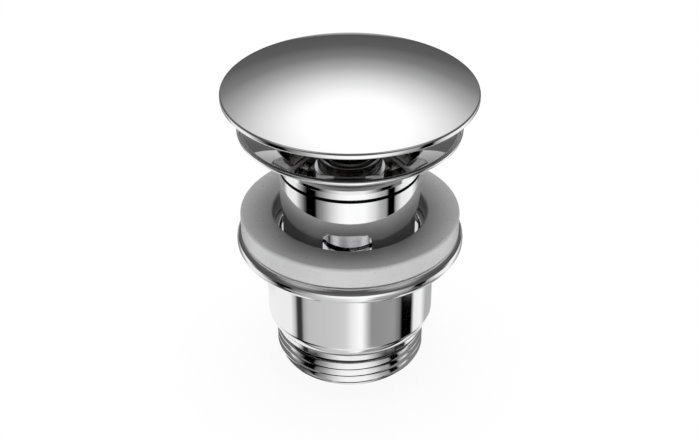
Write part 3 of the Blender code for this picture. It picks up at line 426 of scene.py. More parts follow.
def thread(root, crest, pitch, foot, turns, start=0.0, steps_per_turn=TURN_STEPS):
    """A bmesh of a right-hand thread ridge that starts at a compass angle. Sizes in millimetres."""
    bm = bmesh.new()
    rounding = 0.05 * pitch
    section = [
        (root - SINK, foot + 0.03 * pitch),
        (root, foot + 0.05 * pitch),
        (crest - rounding, foot + FLANK_SHARE * pitch - rounding / 2),
        (crest, foot + FLANK_SHARE * pitch),
        (crest, foot + (1 - FLANK_SHARE) * pitch),
        (crest - rounding, foot + (1 - FLANK_SHARE) * pitch + rounding / 2),
        (root, foot + 0.95 * pitch),
        (root - SINK, foot + 0.97 * pitch),
    ]
    face = bm.faces.new([bm.verts.new((radius * MM, 0, height * MM)) for radius, height in section])
    steps = round(steps_per_turn * turns)
    climb = (0, 0, pitch * MM * turns / steps)
    bmesh.ops.spin(bm, geom=[face], angle=tau * turns, steps=steps, dvec=climb, use_merge=False, **ROUND_Z)
    bm.verts.index_update()
    buried = (root - SINK) * MM
    for vert in bm.verts:
        travelled = turns * (vert.index // len(section)) / steps
        fade = min(1.0, travelled / RUN_OUT, (turns - travelled) / RUN_OUT)
        radius = vert.co.xy.length
        vert.co.xy *= (buried + (radius - buried) * fade) / radius
    rotate_about_z(bm, start)
    bmesh.ops.recalc_face_normals(bm, faces=bm.faces)
    return bm


# %% [markdown]
# ## Cutters that follow a round wall
#
# A window in a tube and a track round a drum have the same problem: their outline is flat on
# the drawing and bent on the piece. The helper draws the outline flat, raises it layer by layer,
# and only then wraps it round the axis. A layer may be wider than the last one, which gives the
# cut a chamfer where it comes out of the surface.

# %% Wrapped cutter
STRIP = 0.9 * MM  # longest side of the outline after it is divided


def wrapped_cutter(corners, wall, layers, turn, heading=0.0, foot=(0.0, 0.0)):
    """A cutter from an outline (across, up, round). Layers are (radius, how much wider)."""
    bm = bmesh.new()
    draw_outline(bm, corners)
    for edge in bm.edges[:]:
        cuts = int(edge.calc_length() / STRIP)
        if cuts:
            bmesh.ops.subdivide_edges(bm, edges=[edge], cuts=cuts)
    lean = Matrix.Rotation(-heading, 3, "Y")
    bmesh.ops.rotate(bm, verts=bm.verts, cent=(0, 0, 0), matrix=lean)
    bmesh.ops.translate(bm, verts=bm.verts, vec=(foot[0] * MM, -layers[0][0] * MM, foot[1] * MM))
    rim = bm.edges[:]
    across = [vert.co.x for vert in bm.verts]
    up = [vert.co.z for vert in bm.verts]
    centre = Vector((min(across) + max(across), 0, min(up) + max(up))) / 2
    half_across = max(across) - centre.x
    half_up = max(up) - centre.z
    for (inner, _), (outer, wider) in zip(layers, layers[1:]):
        raised = bmesh.ops.extrude_edge_only(bm, edges=rim)["geom"]
        rim = [part for part in raised if isinstance(part, bmesh.types.BMEdge)]
        moved = [part for part in raised if isinstance(part, bmesh.types.BMVert)]
        bmesh.ops.translate(bm, verts=moved, vec=(0, (inner - outer) * MM, 0))
        flare = (1 + wider * MM / half_across, 1, 1 + wider * MM / half_up)
        bmesh.ops.scale(bm, verts=moved, vec=flare, space=Matrix.Translation(-centre))
    bmesh.ops.holes_fill(bm, edges=bm.edges, sides=0)
    bmesh.ops.triangulate(bm, faces=bm.faces)
    for vert in bm.verts:
        radius = -vert.co.y
        angle = vert.co.x / (wall * MM) + turn
        vert.co = (radius * sin(angle), -radius * cos(angle), vert.co.z)
    bmesh.ops.recalc_face_normals(bm, faces=bm.faces)
    return as_object(bm, "cutter")


# %% [markdown]
# ## The domed cap
#
# The cap is spun from sheet: a shallow dome, a rolled rim, and a hollow underside with a boss
# that screws on the stud. Spinning one vertex round the dome's centre draws its arc, which is
# rounder than any list of points would be. Outside it is polished, inside it is left satin.

# %% Domed cap
cap_radius, boss_foot, cap_top = extent("dome_cap")
CAP_MARGIN = 0.1  # keeps the fine piece inside the plain solid
RIM_RISE = 1.8  # from the boss's foot to the rim's
CAP_EDGE = 0.9  # from the side to where the dome turns over in to its rim
CAP_EDGE_RISE = 1.95  # from the rim's foot to that edge
CAP_WALL = 1.3
RIM_WALL = 1.5
RIM_INNER_RISE = 1.1
BOSS_RADIUS = 6.0
BOSS_FILLET = 0.9
BOSS_REACH = 2.5  # beyond the boss, where its fillet has ended
TAP_RADIUS = 2.8
TAP_ROOF = 86.3
DOME_STEPS = 40


def draw_dome(bm, rim_radius, rim_height, top, inner_radius=0.0):
    """Draws a dome's arc from its rim inwards, and gives the height where the arc ends."""
    rise = top - rim_height
    sphere = (rim_radius**2 + rise**2) / (2 * rise)
    turn = asin(inner_radius / sphere) - asin(rim_radius / sphere)
    start = bm.verts.new((rim_radius * MM, 0, rim_height * MM))
    centre = (0, 0, (top - sphere) * MM)
    bmesh.ops.spin(bm, geom=[start], cent=centre, axis=(0, 1, 0), angle=turn, steps=DOME_STEPS)
    return top - sphere + sqrt(sphere**2 - inner_radius**2)


rim_foot = boss_foot + RIM_RISE + CAP_MARGIN
dome_top = cap_top - CAP_MARGIN
edge_radius = cap_radius - CAP_EDGE
edge_height = rim_foot + CAP_EDGE_RISE
inner_radius = cap_radius - RIM_WALL
inner_height = rim_foot + RIM_INNER_RISE
arc_end = BOSS_RADIUS + BOSS_REACH
domes = bmesh.new()
draw_dome(domes, edge_radius, edge_height, dome_top)
arc_height = draw_dome(domes, inner_radius, inner_height, dome_top - CAP_WALL, arc_end)
rim = [
    (edge_radius, edge_height),
    (cap_radius, edge_height - 0.30, 0.42),
    (cap_radius, rim_foot + 0.3, 0.25),
    (cap_radius - 0.6, rim_foot, 0.2),
    (cap_radius - 1.2, rim_foot, 0.2),
    (inner_radius, rim_foot + 0.6, 0.2),
    (inner_radius, inner_height),
]
boss = [
    (arc_end, arc_height),
    (BOSS_RADIUS, arc_height + 0.25, BOSS_FILLET),
    (BOSS_RADIUS, boss_foot, 0.3),
    (TAP_RADIUS, boss_foot),
    (TAP_RADIUS, TAP_ROOF),
    (0.0, TAP_ROOF),
]
chains = bmesh.new()
draw_outline(chains, rim, closed=False)
draw_outline(chains, boss, closed=False)
hold_corners(chains)
cap = add_shell(as_object(domes, "polished_cap"), chains)
bm = bmesh.new()
bm.from_mesh(cap.data)
bmesh.ops.remove_doubles(bm, verts=bm.verts, dist=WELD)
sweep(bm, STEPS)
bm.to_mesh(cap.data)
bm.free()
complete(cap, "cap", chrome, "dome_cap")

# %% The cap's satin inside
cap.data.materials.append(satin_chrome)
for face in cap.data.polygons:
    inside = face.center.xy.length < (inner_radius + 0.05) * MM and face.normal.z < 0.3
    face.material_index = int(inside)
satin_faces = sum(face.material_index for face in cap.data.polygons)
print("satin faces inside the cap:", satin_faces)

# %% [markdown]
# ## The waste body
#
# Flange, dish and tube are turned from one bar. The dish leads water in to the throat, a groove
# marks where the overflow starts, and four windows let the overflow's water in. Each window's
# edge is broken by a small chamfer. Below them the tube is threaded for the lower body.

# %% Waste body
flange_radius, tube_end, flange_top = extent("waste_body")
TUBE = 19.1
BORE = 17.0
THROAT = 16.4
THROAT_DEPTH = 4.2  # from the dish's foot
THROAT_FOOT = 57.3
FLANGE_RIM = 1.45
DISH_DEPTH = 4.25
DISH_FOOT_RADIUS = 20.2
GROOVE = 61.1
GROOVE_HALF = 0.4
GROOVE_DEPTH = 0.6
TUBE_THREAD_TOP = 40.6
TUBE_PITCH = 1.5
THREAD_ROOT = 18.25
NECK_FILLET = 4.0  # where the tube curves out in to the flange
NECK_DROP = 5.0  # from the seat to where that curve begins
SEAT_EDGE = 1.6  # from the flange's rim to the seat

seat = flange_top - FLANGE_RIM
dish_foot = flange_top - DISH_DEPTH
body_outline = [
    (flange_radius, seat, 0.9),
    (flange_radius, flange_top, 0.35),
    (flange_radius - 1.0, flange_top, 0.25),
    (DISH_FOOT_RADIUS, dish_foot, 0.4),
    (THROAT, dish_foot - THROAT_DEPTH, 1.0),
    (THROAT, THROAT_FOOT),
    (BORE, THROAT_FOOT),
    (BORE, tube_end, 0.3),
    (THREAD_ROOT - 0.5, tube_end, 0.2),
    (THREAD_ROOT, tube_end + 0.6, 0.2),
    (THREAD_ROOT, TUBE_THREAD_TOP, 0.2),
    (TUBE, TUBE_THREAD_TOP + 0.7, 0.2),
    (TUBE, GROOVE - GROOVE_HALF, 0.06),
    (TUBE - GROOVE_DEPTH, GROOVE - GROOVE_HALF, 0.1),
    (TUBE - GROOVE_DEPTH, GROOVE + GROOVE_HALF, 0.1),
    (TUBE, GROOVE + GROOVE_HALF, 0.06),
    (TUBE, seat - NECK_DROP, NECK_FILLET),
    (flange_radius - SEAT_EDGE, seat, 0.2),
]
waste = as_object(turned(body_outline), "chrome_waste")
print("waste body before its windows:", len(waste.data.polygons), "faces")

# %% Overflow windows
WINDOW_HALF = 6.7  # half of its width, measured round the tube
WINDOW_FOOT = 41.7
WINDOW_TOP = 50.2
WINDOW_CORNER = 2.0
WINDOW_TURN = radians(-2.2)
WINDOW_CHAMFER = 0.25
WINDOW_COUNT = 4
PAST = 0.1  # how far the chamfer goes on outside the wall
CLEAR = 4.0  # how far the cutter goes on either side of the wall
window_outline = rectangle(-WINDOW_HALF, WINDOW_HALF, WINDOW_FOOT, WINDOW_TOP, WINDOW_CORNER)
window_layers = (
    (BORE - CLEAR, 0.0),
    (TUBE - WINDOW_CHAMFER, 0.0),
    (TUBE + PAST, WINDOW_CHAMFER + PAST),
    (TUBE + CLEAR, 0.0),
)
for window in range(WINDOW_COUNT):
    turn = WINDOW_TURN + window * tau / WINDOW_COUNT
    cut(waste, wrapped_cutter(window_outline, TUBE, window_layers, turn))

thread_foot = tube_end + 0.7
thread_turns = (TUBE_THREAD_TOP - thread_foot) / TUBE_PITCH - 1
add_shell(waste, thread(THREAD_ROOT, TUBE - 0.05, TUBE_PITCH, thread_foot, thread_turns))
complete(waste, "waste", chrome, "waste_body")

# %% [markdown]
# ## The lower body
#
# The lower body screws up the tube and clamps the basin. Its flange has a full round edge and
# its foot rounds in to a tail, which carries the standard thread of a basin waste, 41.91 mm
# over the crests with 11 threads to the inch. The thread starts where the plain solid's does.

# %% Lower body
clamp_radius, tail_end, clamp_top = extent("lower_body")
TAIL_PITCH = 2.309
TAIL_CREST = 20.94
TAIL_ROOT = 19.47
TAIL_BORE = 17.2
TAIL_BORE_TOP = 11.4
LOWER_BORE = 19.4
LOWER_BORE_FOOT = 13.6
CYLINDER = 23.3
COLLAR_FOOT = 10.2
COLLAR_TOP = 12.1
FOOT_ROUND = 4.6
FOOT_STEPS = 14
CLAMP_THICK = 4.8

foot_centre = CYLINDER - FOOT_ROUND
foot_reach = TAIL_CREST - foot_centre
foot_height = COLLAR_TOP + sqrt(FOOT_ROUND**2 - foot_reach**2)
foot_turn = atan2(foot_height - COLLAR_TOP, foot_reach)
bm = bmesh.new()
start = bm.verts.new((CYLINDER * MM, 0, foot_height * MM))
middle = (foot_centre * MM, 0, foot_height * MM)
bmesh.ops.spin(bm, geom=[start], cent=middle, axis=(0, 1, 0), angle=foot_turn, steps=FOOT_STEPS)
lower_outline = [
    (TAIL_CREST, COLLAR_TOP),
    (TAIL_CREST, COLLAR_FOOT, 0.12),
    (TAIL_ROOT, COLLAR_FOOT - 0.5, 0.1),
    (TAIL_ROOT, tail_end + 0.5, 0.15),
    (TAIL_ROOT - 0.5, tail_end, 0.15),
    (TAIL_BORE, tail_end, 0.3),
    (TAIL_BORE, TAIL_BORE_TOP, 0.2),
    (LOWER_BORE, LOWER_BORE_FOOT, 0.2),
    (LOWER_BORE, clamp_top, 0.4),
    (clamp_radius, clamp_top, 2.1),
    (clamp_radius, clamp_top - CLAMP_THICK, 2.1),
    (CYLINDER, clamp_top - CLAMP_THICK, 0.6),
    (CYLINDER, foot_height),
]
draw_outline(bm, lower_outline, closed=False)
bmesh.ops.remove_doubles(bm, verts=bm.verts, dist=WELD)
hold_corners(bm)
sweep(bm, STEPS)
lower = as_object(bm, "chrome_lower_body")

# %% Tail thread
THREAD_LEAD = 0.9  # tail end to the first root, at the front
THREAD_START = radians(-94.5)
EARLY = 0.3  # turns before the front where the ridge begins to rise
TAIL_TURNS = 4.15
first_root = THREAD_LEAD - EARLY * TAIL_PITCH
start = THREAD_START - EARLY * tau
add_shell(lower, thread(TAIL_ROOT, TAIL_CREST, TAIL_PITCH, first_root, TAIL_TURNS, start))
complete(lower, "clamp", chrome, "lower_body")

# %% [markdown]
# ## The sealing ring
#
# A thick moulded ring seals under the basin. It is pale and a little translucent, and its edges
# are softly rounded where the mould parts.

# %% Sealing ring
seal_radius, seal_foot, seal_top = extent("sealing_ring")
SEAL_HOLE = 21.1
seal_outline = [
    (SEAL_HOLE, seal_foot, 0.3),
    (seal_radius, seal_foot, 0.3),
    (seal_radius, seal_top, 0.7),
    (SEAL_HOLE, seal_top, 0.6),
]
complete(as_object(turned(seal_outline), "moulded_sealing_ring"), "seal", milky, "sealing_ring")

# %% [markdown]
# ## The spider
#
# The spider carries the click cartridge in the middle of the tube: a rim, a hub and four arms
# cast in one piece. Rings and bars are modelled apart with their own rounded edges and then
# joined, because a bevel after the join would stumble over the places where they meet.

# %% Spider
_, spider_foot, spider_top = extent("spider")
SPIDER_RIM = 16.7
SPIDER_RIM_WALL = 1.7
SPIDER_HUB = 11.2
HUB_HOLE = 8.3
ARM_WIDTH = 3.2
ARM_STEP = 0.3  # how far the arms lie below the rings
ARM_COUNT = 4


def block(size, middle, edge=0.0):
    """A bmesh of a box in millimetres, with its edges rounded if that is asked."""
    bm = bmesh.new()
    bmesh.ops.create_cube(bm, size=MM)
    bmesh.ops.scale(bm, verts=bm.verts, vec=size)
    if edge:
        shape = {"segments": 3, "profile": 0.5, "material": -1}
        bmesh.ops.bevel(bm, geom=bm.edges[:], offset=edge * MM, affect="EDGES", **shape)
    bmesh.ops.translate(bm, verts=bm.verts, vec=[value * MM for value in middle])
    return bm


spider_bore = SPIDER_RIM - SPIDER_RIM_WALL
spider = as_object(ring(spider_bore, SPIDER_RIM, spider_foot, spider_top, 0.25), "cast_spider")
cut(spider, as_object(ring(HUB_HOLE, SPIDER_HUB, spider_foot, spider_top, 0.3), "hub"), "UNION")
arm_size = (SPIDER_RIM - SPIDER_HUB, ARM_WIDTH, spider_top - spider_foot - 2 * ARM_STEP)
arm_middle = ((SPIDER_HUB + spider_bore) / 2, 0, (spider_foot + spider_top) / 2)
for arm in range(ARM_COUNT):
    bm = block(arm_size, arm_middle, edge=0.3)
    rotate_about_z(bm, (arm + 0.5) * tau / ARM_COUNT)
    cut(spider, as_object(bm, "arm"), "UNION")
complete(spider, "waste", nickel, "spider")

# %% [markdown]
# ## Hexagons
#
# A nut is turned as a blank with a chamfer at either end and then milled to six flats, which
# gives its corners their curved edges. A Boolean intersection with a six-sided prism mills all
# six at once.

# %% Nut helper
NUT_BEVEL = 0.6  # height of a nut's chamfer against its width


def hexagon_nut(name, hole, flats, foot, top):
    """A chamfered nut with the sizes of its hole and over its flats, in millimetres."""
    corner = flats / sqrt(3)
    chamfer = NUT_BEVEL * (corner - flats / 2)
    blank = [
        (hole, foot, 0.15),
        (flats / 2, foot),
        (corner, foot + chamfer),
        (corner, top - chamfer),
        (flats / 2, top),
        (hole, top, 0.15),
    ]
    nut = as_object(turned(blank, INNER_STEPS), name)
    bm = bmesh.new()
    radii = {"radius1": corner * MM, "radius2": corner * MM}
    bmesh.ops.create_cone(bm, cap_ends=True, segments=6, depth=(top - foot + 2) * MM, **radii)
    rotate_about_z(bm, -pi / 2)
    bmesh.ops.translate(bm, verts=bm.verts, vec=(0, 0, (foot + top) / 2 * MM))
    return cut(nut, as_object(bm, "flats"), "INTERSECT")


# %% Lock nut and washer of the cartridge
_, nut_foot, nut_top = extent("cartridge_lock_nut")
LOCK_NUT_FLATS = 20.0
lock_nut = hexagon_nut("cartridge_nut", HUB_HOLE, LOCK_NUT_FLATS, nut_foot, nut_top)
complete(lock_nut, "waste", nickel, "cartridge_lock_nut")

washer_radius, washer_foot, washer_top = extent("cartridge_washer")
washer = as_object(ring(HUB_HOLE, washer_radius, washer_foot, washer_top, 0.12), "fibre_washer")
complete(washer, "waste", fibre, "cartridge_washer")

# %% [markdown]
# ## The cartridge housing
#
# The housing is a stepped tube. From below it holds the spring's seat, then the drum with its
# heart-shaped track, the seal of the rod and a bush. One outline draws all the steps of its
# bore, the hexagon collar is joined on, and a milled slot lets the follower's end reach in.

# %% Cartridge housing
_, housing_foot, housing_top = extent("cartridge_housing")
HOUSING = 8.0
HOUSING_THREAD_ROOT = 7.55
HOUSING_PITCH = 1.0
THREAD_FROM = 44.0
THREAD_TO = 53.4
CLIP_GROOVE = 7.2
CLIP_HEIGHT = 38.5
CLIP_HALF = 0.8
NECK = 8.8
NECK_FOOT = 59.05
COLLAR_FLATS = 19.0
HEX_FOOT = 57.3
HEX_TOP = 60.8
HEX_HOLE = 7.4  # hidden in the housing's wall
SLOT_WIDTH = 11.5
SLOT_REACH = 12.0
HOUSING_CREST = 7.97
HOUSING_BREAK = 0.5  # chamfer at either end
THREAD_LEAN = 0.4  # height over which the barrel narrows to the thread's root
BUSH_BORE = 6.9
BUSH_FLOOR = 58.5
SPLIT_GROOVE = 7.5
SPLIT_GROOVE_FOOT = 62.5
SPLIT_GROOVE_TOP = 63.7
ROD_BORE = 4.3
O_RING_GROOVE = 6.1
O_RING_GROOVE_FOOT = 55.55
O_RING_GROOVE_TOP = 57.65
DRUM_BORE = 5.6
DRUM_ROOF = 51.6
SEAT_BORE = 6.5
SEAT_ROOF = 27.1
barrel_outline = [
    (HOUSING - HOUSING_BREAK, housing_foot, 0.1),
    (HOUSING, housing_foot + HOUSING_BREAK, 0.1),
    *groove(HOUSING, CLIP_GROOVE, CLIP_HEIGHT - CLIP_HALF, CLIP_HEIGHT + CLIP_HALF, 0.08),
    (HOUSING, THREAD_FROM - THREAD_LEAN, 0.1),
    (HOUSING_THREAD_ROOT, THREAD_FROM),
    (HOUSING_THREAD_ROOT, THREAD_TO),
    (HOUSING, THREAD_TO + THREAD_LEAN, 0.1),
    (HOUSING, NECK_FOOT),
    (NECK, NECK_FOOT),
    (NECK, housing_top - HOUSING_BREAK, 0.15),
    (NECK - HOUSING_BREAK, housing_top, 0.15),
    (BUSH_BORE, housing_top, 0.15),
    *groove(BUSH_BORE, SPLIT_GROOVE, SPLIT_GROOVE_TOP, SPLIT_GROOVE_FOOT),
    (BUSH_BORE, BUSH_FLOOR),
    (ROD_BORE, BUSH_FLOOR),
    *groove(ROD_BORE, O_RING_GROOVE, O_RING_GROOVE_TOP, O_RING_GROOVE_FOOT),
    (ROD_BORE, DRUM_ROOF),
    (DRUM_BORE, DRUM_ROOF),
    (DRUM_BORE, SEAT_ROOF),
    (SEAT_BORE, SEAT_ROOF),
    (SEAT_BORE, housing_foot, 0.2),
]
housing = as_object(turned(barrel_outline, INNER_STEPS), "turned_housing")
cut(housing, hexagon_nut("collar", HEX_HOLE, COLLAR_FLATS, HEX_FOOT, HEX_TOP), "UNION")

# %% Housing's slot and thread
slot_size = (SLOT_WIDTH, SLOT_REACH, 2 * CLIP_HALF)
cut(housing, as_object(block(slot_size, (0, -SLOT_REACH / 2, CLIP_HEIGHT)), "slot"))
housing_turns = (THREAD_TO - THREAD_FROM) / HOUSING_PITCH - 1
housing_thread = thread(
    HOUSING_THREAD_ROOT, HOUSING_CREST, HOUSING_PITCH, THREAD_FROM, housing_turns, 0.0, FINE_TURN_STEPS
)
add_shell(housing, housing_thread)
complete(housing, "waste", turned_chrome, "cartridge_housing")

# %% [markdown]
# ## Spring and spring seat
#
# The seat closes the housing from below. It has a slot for a screwdriver, a drain hole, and a
# spigot that centres the spring. The spring is one circle of wire screwed up the axis.

# %% Spring seat
_, seat_foot, _ = extent("spring_seat")
SEAT_RADIUS = 6.2
SEAT_FACE = 26.8
DRAIN_HOLE = 1.0
SPIGOT = 1.9
SPIGOT_TOP = 30.0
DRIVER_SLOT = (14.0, 1.2, 2.8)
spring_seat_outline = [
    (DRAIN_HOLE, seat_foot, 0.15),
    (SEAT_RADIUS, seat_foot, 0.2),
    (SEAT_RADIUS, SEAT_FACE, 0.2),
    (SPIGOT, SEAT_FACE, 0.2),
    (SPIGOT, SPIGOT_TOP, 0.3),
    (DRAIN_HOLE, SPIGOT_TOP, 0.2),
]
spring_seat = as_object(turned(spring_seat_outline, INNER_STEPS), "slotted_seat")
cut(spring_seat, as_object(block(DRIVER_SLOT, (0, 0, seat_foot)), "slot"))
complete(spring_seat, "waste", nickel, "spring_seat")

# %% Return spring
SPRING_RADIUS = 2.65
SPRING_WIRE = 0.35
SPRING_FOOT = 27.5
SPRING_TOP = 46.6
SPRING_TURNS = 7
SPRING_STEPS = 32  # in one turn
WIRE_SIDES = 14


def wire_end(bm, across, height, wire, heading=0.0):
    """The round end of a wire, standing across Y, and turned about Z by the heading."""
    disc = bmesh.ops.create_circle(bm, cap_ends=True, segments=WIRE_SIDES, radius=wire * MM)["verts"]
    upright = Matrix.Rotation(heading, 3, "Z") @ Matrix.Rotation(pi / 2, 3, "X")
    bmesh.ops.rotate(bm, verts=disc, cent=(0, 0, 0), matrix=upright)
    bmesh.ops.translate(bm, verts=disc, vec=(across * MM, 0, height * MM))
    return bm.faces[:]


bm = bmesh.new()
end = wire_end(bm, SPRING_RADIUS, SPRING_FOOT, SPRING_WIRE)
steps = SPRING_TURNS * SPRING_STEPS
climb = (0, 0, (SPRING_TOP - SPRING_FOOT) * MM / steps)
bmesh.ops.spin(bm, geom=end, angle=SPRING_TURNS * tau, steps=steps, dvec=climb, **ROUND_Z)
bmesh.ops.recalc_face_normals(bm, faces=bm.faces)
spring = complete(as_object(bm, "coiled_spring"), "waste", steel, "return_spring")
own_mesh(spring)

# %% [markdown]
# ## The follower clip
#
# The clip is a C of wire that lies in the housing's groove. One end is bent inwards and runs in
# the track round the drum. It is the same circle of wire each time: extruded for the straight
# end, spun about the bend, and spun about the axis for the C.

# %% Follower clip
CLIP_RADIUS = 8.0
CLIP_WIRE = 0.5
CLIP_TIP = 4.5
CLIP_BEND = 1.2
CLIP_WRAP = radians(300)
bend_centre = sqrt((CLIP_RADIUS - CLIP_BEND) ** 2 - CLIP_BEND**2)
bend_end = atan2(CLIP_BEND, bend_centre)
bm = bmesh.new()
tip = wire_end(bm, CLIP_TIP, CLIP_HEIGHT, CLIP_WIRE, heading=pi / 2)
straight = bmesh.ops.extrude_face_region(bm, geom=tip, use_keep_orig=True)["geom"]
moved = [part for part in straight if isinstance(part, bmesh.types.BMVert)]
bmesh.ops.translate(bm, verts=moved, vec=((bend_centre - CLIP_TIP) * MM, 0, 0))
front = [part for part in straight if isinstance(part, bmesh.types.BMFace)]
bends = (
    ((bend_centre * MM, CLIP_BEND * MM, 0), pi / 2 + bend_end, 8),
    ((0, 0, 0), CLIP_WRAP, 60),
)
for centre, angle, steps in bends:
    bent = bmesh.ops.spin(bm, geom=front, cent=centre, axis=(0, 0, 1), angle=angle, steps=steps)
    bmesh.ops.delete(bm, geom=front, context="FACES_ONLY")
    front = [part for part in bent["geom_last"] if isinstance(part, bmesh.types.BMFace)]
bmesh.ops.remove_doubles(bm, verts=bm.verts, dist=WELD)
rotate_about_z(bm, -pi / 2)
bmesh.ops.recalc_face_normals(bm, faces=bm.faces)
complete(as_object(bm, "wire_clip"), "follower", steel, "follower_clip")

# %% [markdown]
# ## The plunger and its heart-shaped track
#
# Rod and drum are one turned piece. The track is four legs that are milled round the drum: up
# one side, down to the notch that holds the pin, up again and down the other side. Each leg is
# a little deeper than the one before, so the pin can only go round one way. A leg is a bar with
# round ends on the flat drawing, and the wrapped cutter bends it round the drum.

# %% Plunger
ROD = 4.0
DRUM = 5.3
DRUM_FOOT = 35.5
DRUM_TOP = 51.3
ROD_TOP = 73.1
SPRING_BORE = 3.3
SPRING_ROOF = 47.0
STUD_HOLE = 2.8
STUD_FLOOR = 63.1
plunger_outline = [
    (0.0, SPRING_ROOF),
    (SPRING_BORE, SPRING_ROOF),
    (SPRING_BORE, DRUM_FOOT, 0.15),
    (DRUM, DRUM_FOOT, 0.3),
    (DRUM, DRUM_TOP, 0.3),
    (ROD, DRUM_TOP),
    (ROD, ROD_TOP, 0.35),
    (STUD_HOLE, ROD_TOP),
    (STUD_HOLE, STUD_FLOOR),
    (0.0, STUD_FLOOR - 1.4),
]
plunger = as_object(turned(plunger_outline, INNER_STEPS, closed=False), "cam_plunger")

# %% Heart-shaped track
TRACK_TOP = 8.4
TRACK_SIDE = 2.91
NOTCH = 6.3
TRACK_HALF = 0.9
TRACK_FLOOR = 4.2
LEG_STEP = 0.08
LEG_WIDENING = 0.02
LEG_ROUND = 0.98  # of half the width, just short of where a leg's rounds meet
track_corners = [(0.0, 0.0), (-TRACK_SIDE, TRACK_TOP), (0.0, NOTCH), (TRACK_SIDE, TRACK_TOP), (0.0, 0.0)]
for leg, (foot, head) in enumerate(zip(track_corners, track_corners[1:])):
    half = TRACK_HALF + leg * LEG_WIDENING
    length = hypot(head[0] - foot[0], head[1] - foot[1])
    bar = rectangle(-half, length + half, -half, half, half * LEG_ROUND)
    heading = atan2(head[1] - foot[1], head[0] - foot[0])
    depth = ((TRACK_FLOOR - leg * LEG_STEP, 0.0), (DRUM + 1, 0.0))
    place = (foot[0], foot[1] + CLIP_HEIGHT)
    cut(plunger, wrapped_cutter(bar, DRUM, depth, 0.0, heading, place))
complete(plunger, "cap", nickel, "plunger")

# %% [markdown]
# ## Rod seal, bush and retaining ring
#
# In the head of the housing an O-ring keeps the slide clean, a bush guides the rod, and a split
# ring holds the bush. The O-ring is a circle spun once round the axis. The split ring is a
# section spun through less than a full turn, with its last face left in place to close it.

# %% O-ring
O_RING_WIRE = 0.75
O_RING_HEIGHT = 56.6
ROD_GAP = 0.3  # between the rod and what is round it
bm = bmesh.new()
wire_end(bm, ROD + ROD_GAP + O_RING_WIRE, O_RING_HEIGHT, O_RING_WIRE)
bmesh.ops.delete(bm, geom=bm.faces[:], context="FACES_ONLY")
sweep(bm, INNER_STEPS)
complete(as_object(bm, "rod_seal"), "waste", rubber, "plunger_o_ring")

# %% Guide bush and retaining ring
bush_radius, bush_foot, bush_top = extent("guide_bush")
bush = as_object(ring(ROD + ROD_GAP, bush_radius, bush_foot, bush_top, 0.2), "rod_bush")
complete(bush, "waste", acetal, "guide_bush")

_, split_foot, split_top = extent("retaining_ring")
SPLIT = radians(40)
SPLIT_INNER = 5.9
SPLIT_OUTER = 7.2
SPLIT_STEPS = 80
bm = bmesh.new()
draw_outline(bm, rectangle(SPLIT_INNER, SPLIT_OUTER, split_foot, split_top, 0.1))
section = bmesh.ops.contextual_create(bm, geom=bm.edges[:])["faces"]
bmesh.ops.spin(bm, geom=section, angle=tau - SPLIT, steps=SPLIT_STEPS, **ROUND_Z)
rotate_about_z(bm, SPLIT / 2)
bmesh.ops.recalc_face_normals(bm, faces=bm.faces)
complete(as_object(bm, "split_ring"), "waste", steel, "retaining_ring")

# %% [markdown]
# ## What joins the cap to the plunger
#
# A threaded stud runs from the plunger up in to the cap's boss. A nut and a washer hold the
# stopper's plate on it, and the plate's tongue grips the rubber ring that closes the drain.

# %% Stud, nut and washer
_, stud_foot, stud_top = extent("cap_stud")
STUD = 2.5
STUD_ROOT = 2.12
STUD_PITCH = 0.8
stud_outline = [
    (0.0, stud_foot),
    (STUD_ROOT - 0.4, stud_foot, 0.1),
    (STUD_ROOT, stud_foot + 0.4, 0.1),
    (STUD_ROOT, stud_top - 0.4, 0.1),
    (STUD_ROOT - 0.4, stud_top, 0.1),
    (0.0, stud_top),
]
stud = as_object(turned(stud_outline, FINE_TURN_STEPS, closed=False), "threaded_stud")
stud_turns = (stud_top - stud_foot - 0.6) / STUD_PITCH - 1
stud_thread = thread(STUD_ROOT, STUD - 0.02, STUD_PITCH, stud_foot + 0.3, stud_turns, 0.0, FINE_TURN_STEPS)
complete(add_shell(stud, stud_thread), "cap", steel, "cap_stud")

_, cap_nut_foot, cap_nut_top = extent("cap_lock_nut")
STUD_NUT_FLATS = 8.0
cap_nut = hexagon_nut("stud_nut", STUD_HOLE, STUD_NUT_FLATS, cap_nut_foot, cap_nut_top)
complete(cap_nut, "cap", nickel, "cap_lock_nut")

small_radius, small_foot, small_top = extent("plate_washer")
small_washer = as_object(ring(STUD_HOLE, small_radius, small_foot, small_top, 0.1), "steel_washer")
complete(small_washer, "cap", steel, "plate_washer")

# %% Stopper plate and stopper seal
tongue_radius, plate_foot, plate_top = extent("stopper_plate")
PLATE = 19.2
PLATE_HUB = 6.0
PLATE_HUB_DEPTH = 0.9
TONGUE_STEP = 0.3
TONGUE_GROOVE = 1.6  # height of the groove that the tongue sits in
plate_outline = [
    (STUD_HOLE, plate_foot, 0.15),
    (PLATE_HUB, plate_foot, 0.3),
    (PLATE_HUB, plate_foot + PLATE_HUB_DEPTH, 0.3),
    (PLATE, plate_foot + PLATE_HUB_DEPTH, 0.15),
    (PLATE, plate_foot + PLATE_HUB_DEPTH + TONGUE_STEP),
    (tongue_radius, plate_foot + PLATE_HUB_DEPTH + TONGUE_STEP, 0.15),
    (tongue_radius, plate_top - TONGUE_STEP, 0.15),
    (PLATE, plate_top - TONGUE_STEP),
    (PLATE, plate_top, 0.15),
    (STUD_HOLE, plate_top, 0.15),
]
complete(as_object(turned(plate_outline), "moulded_plate"), "cap", acetal, "stopper_plate")

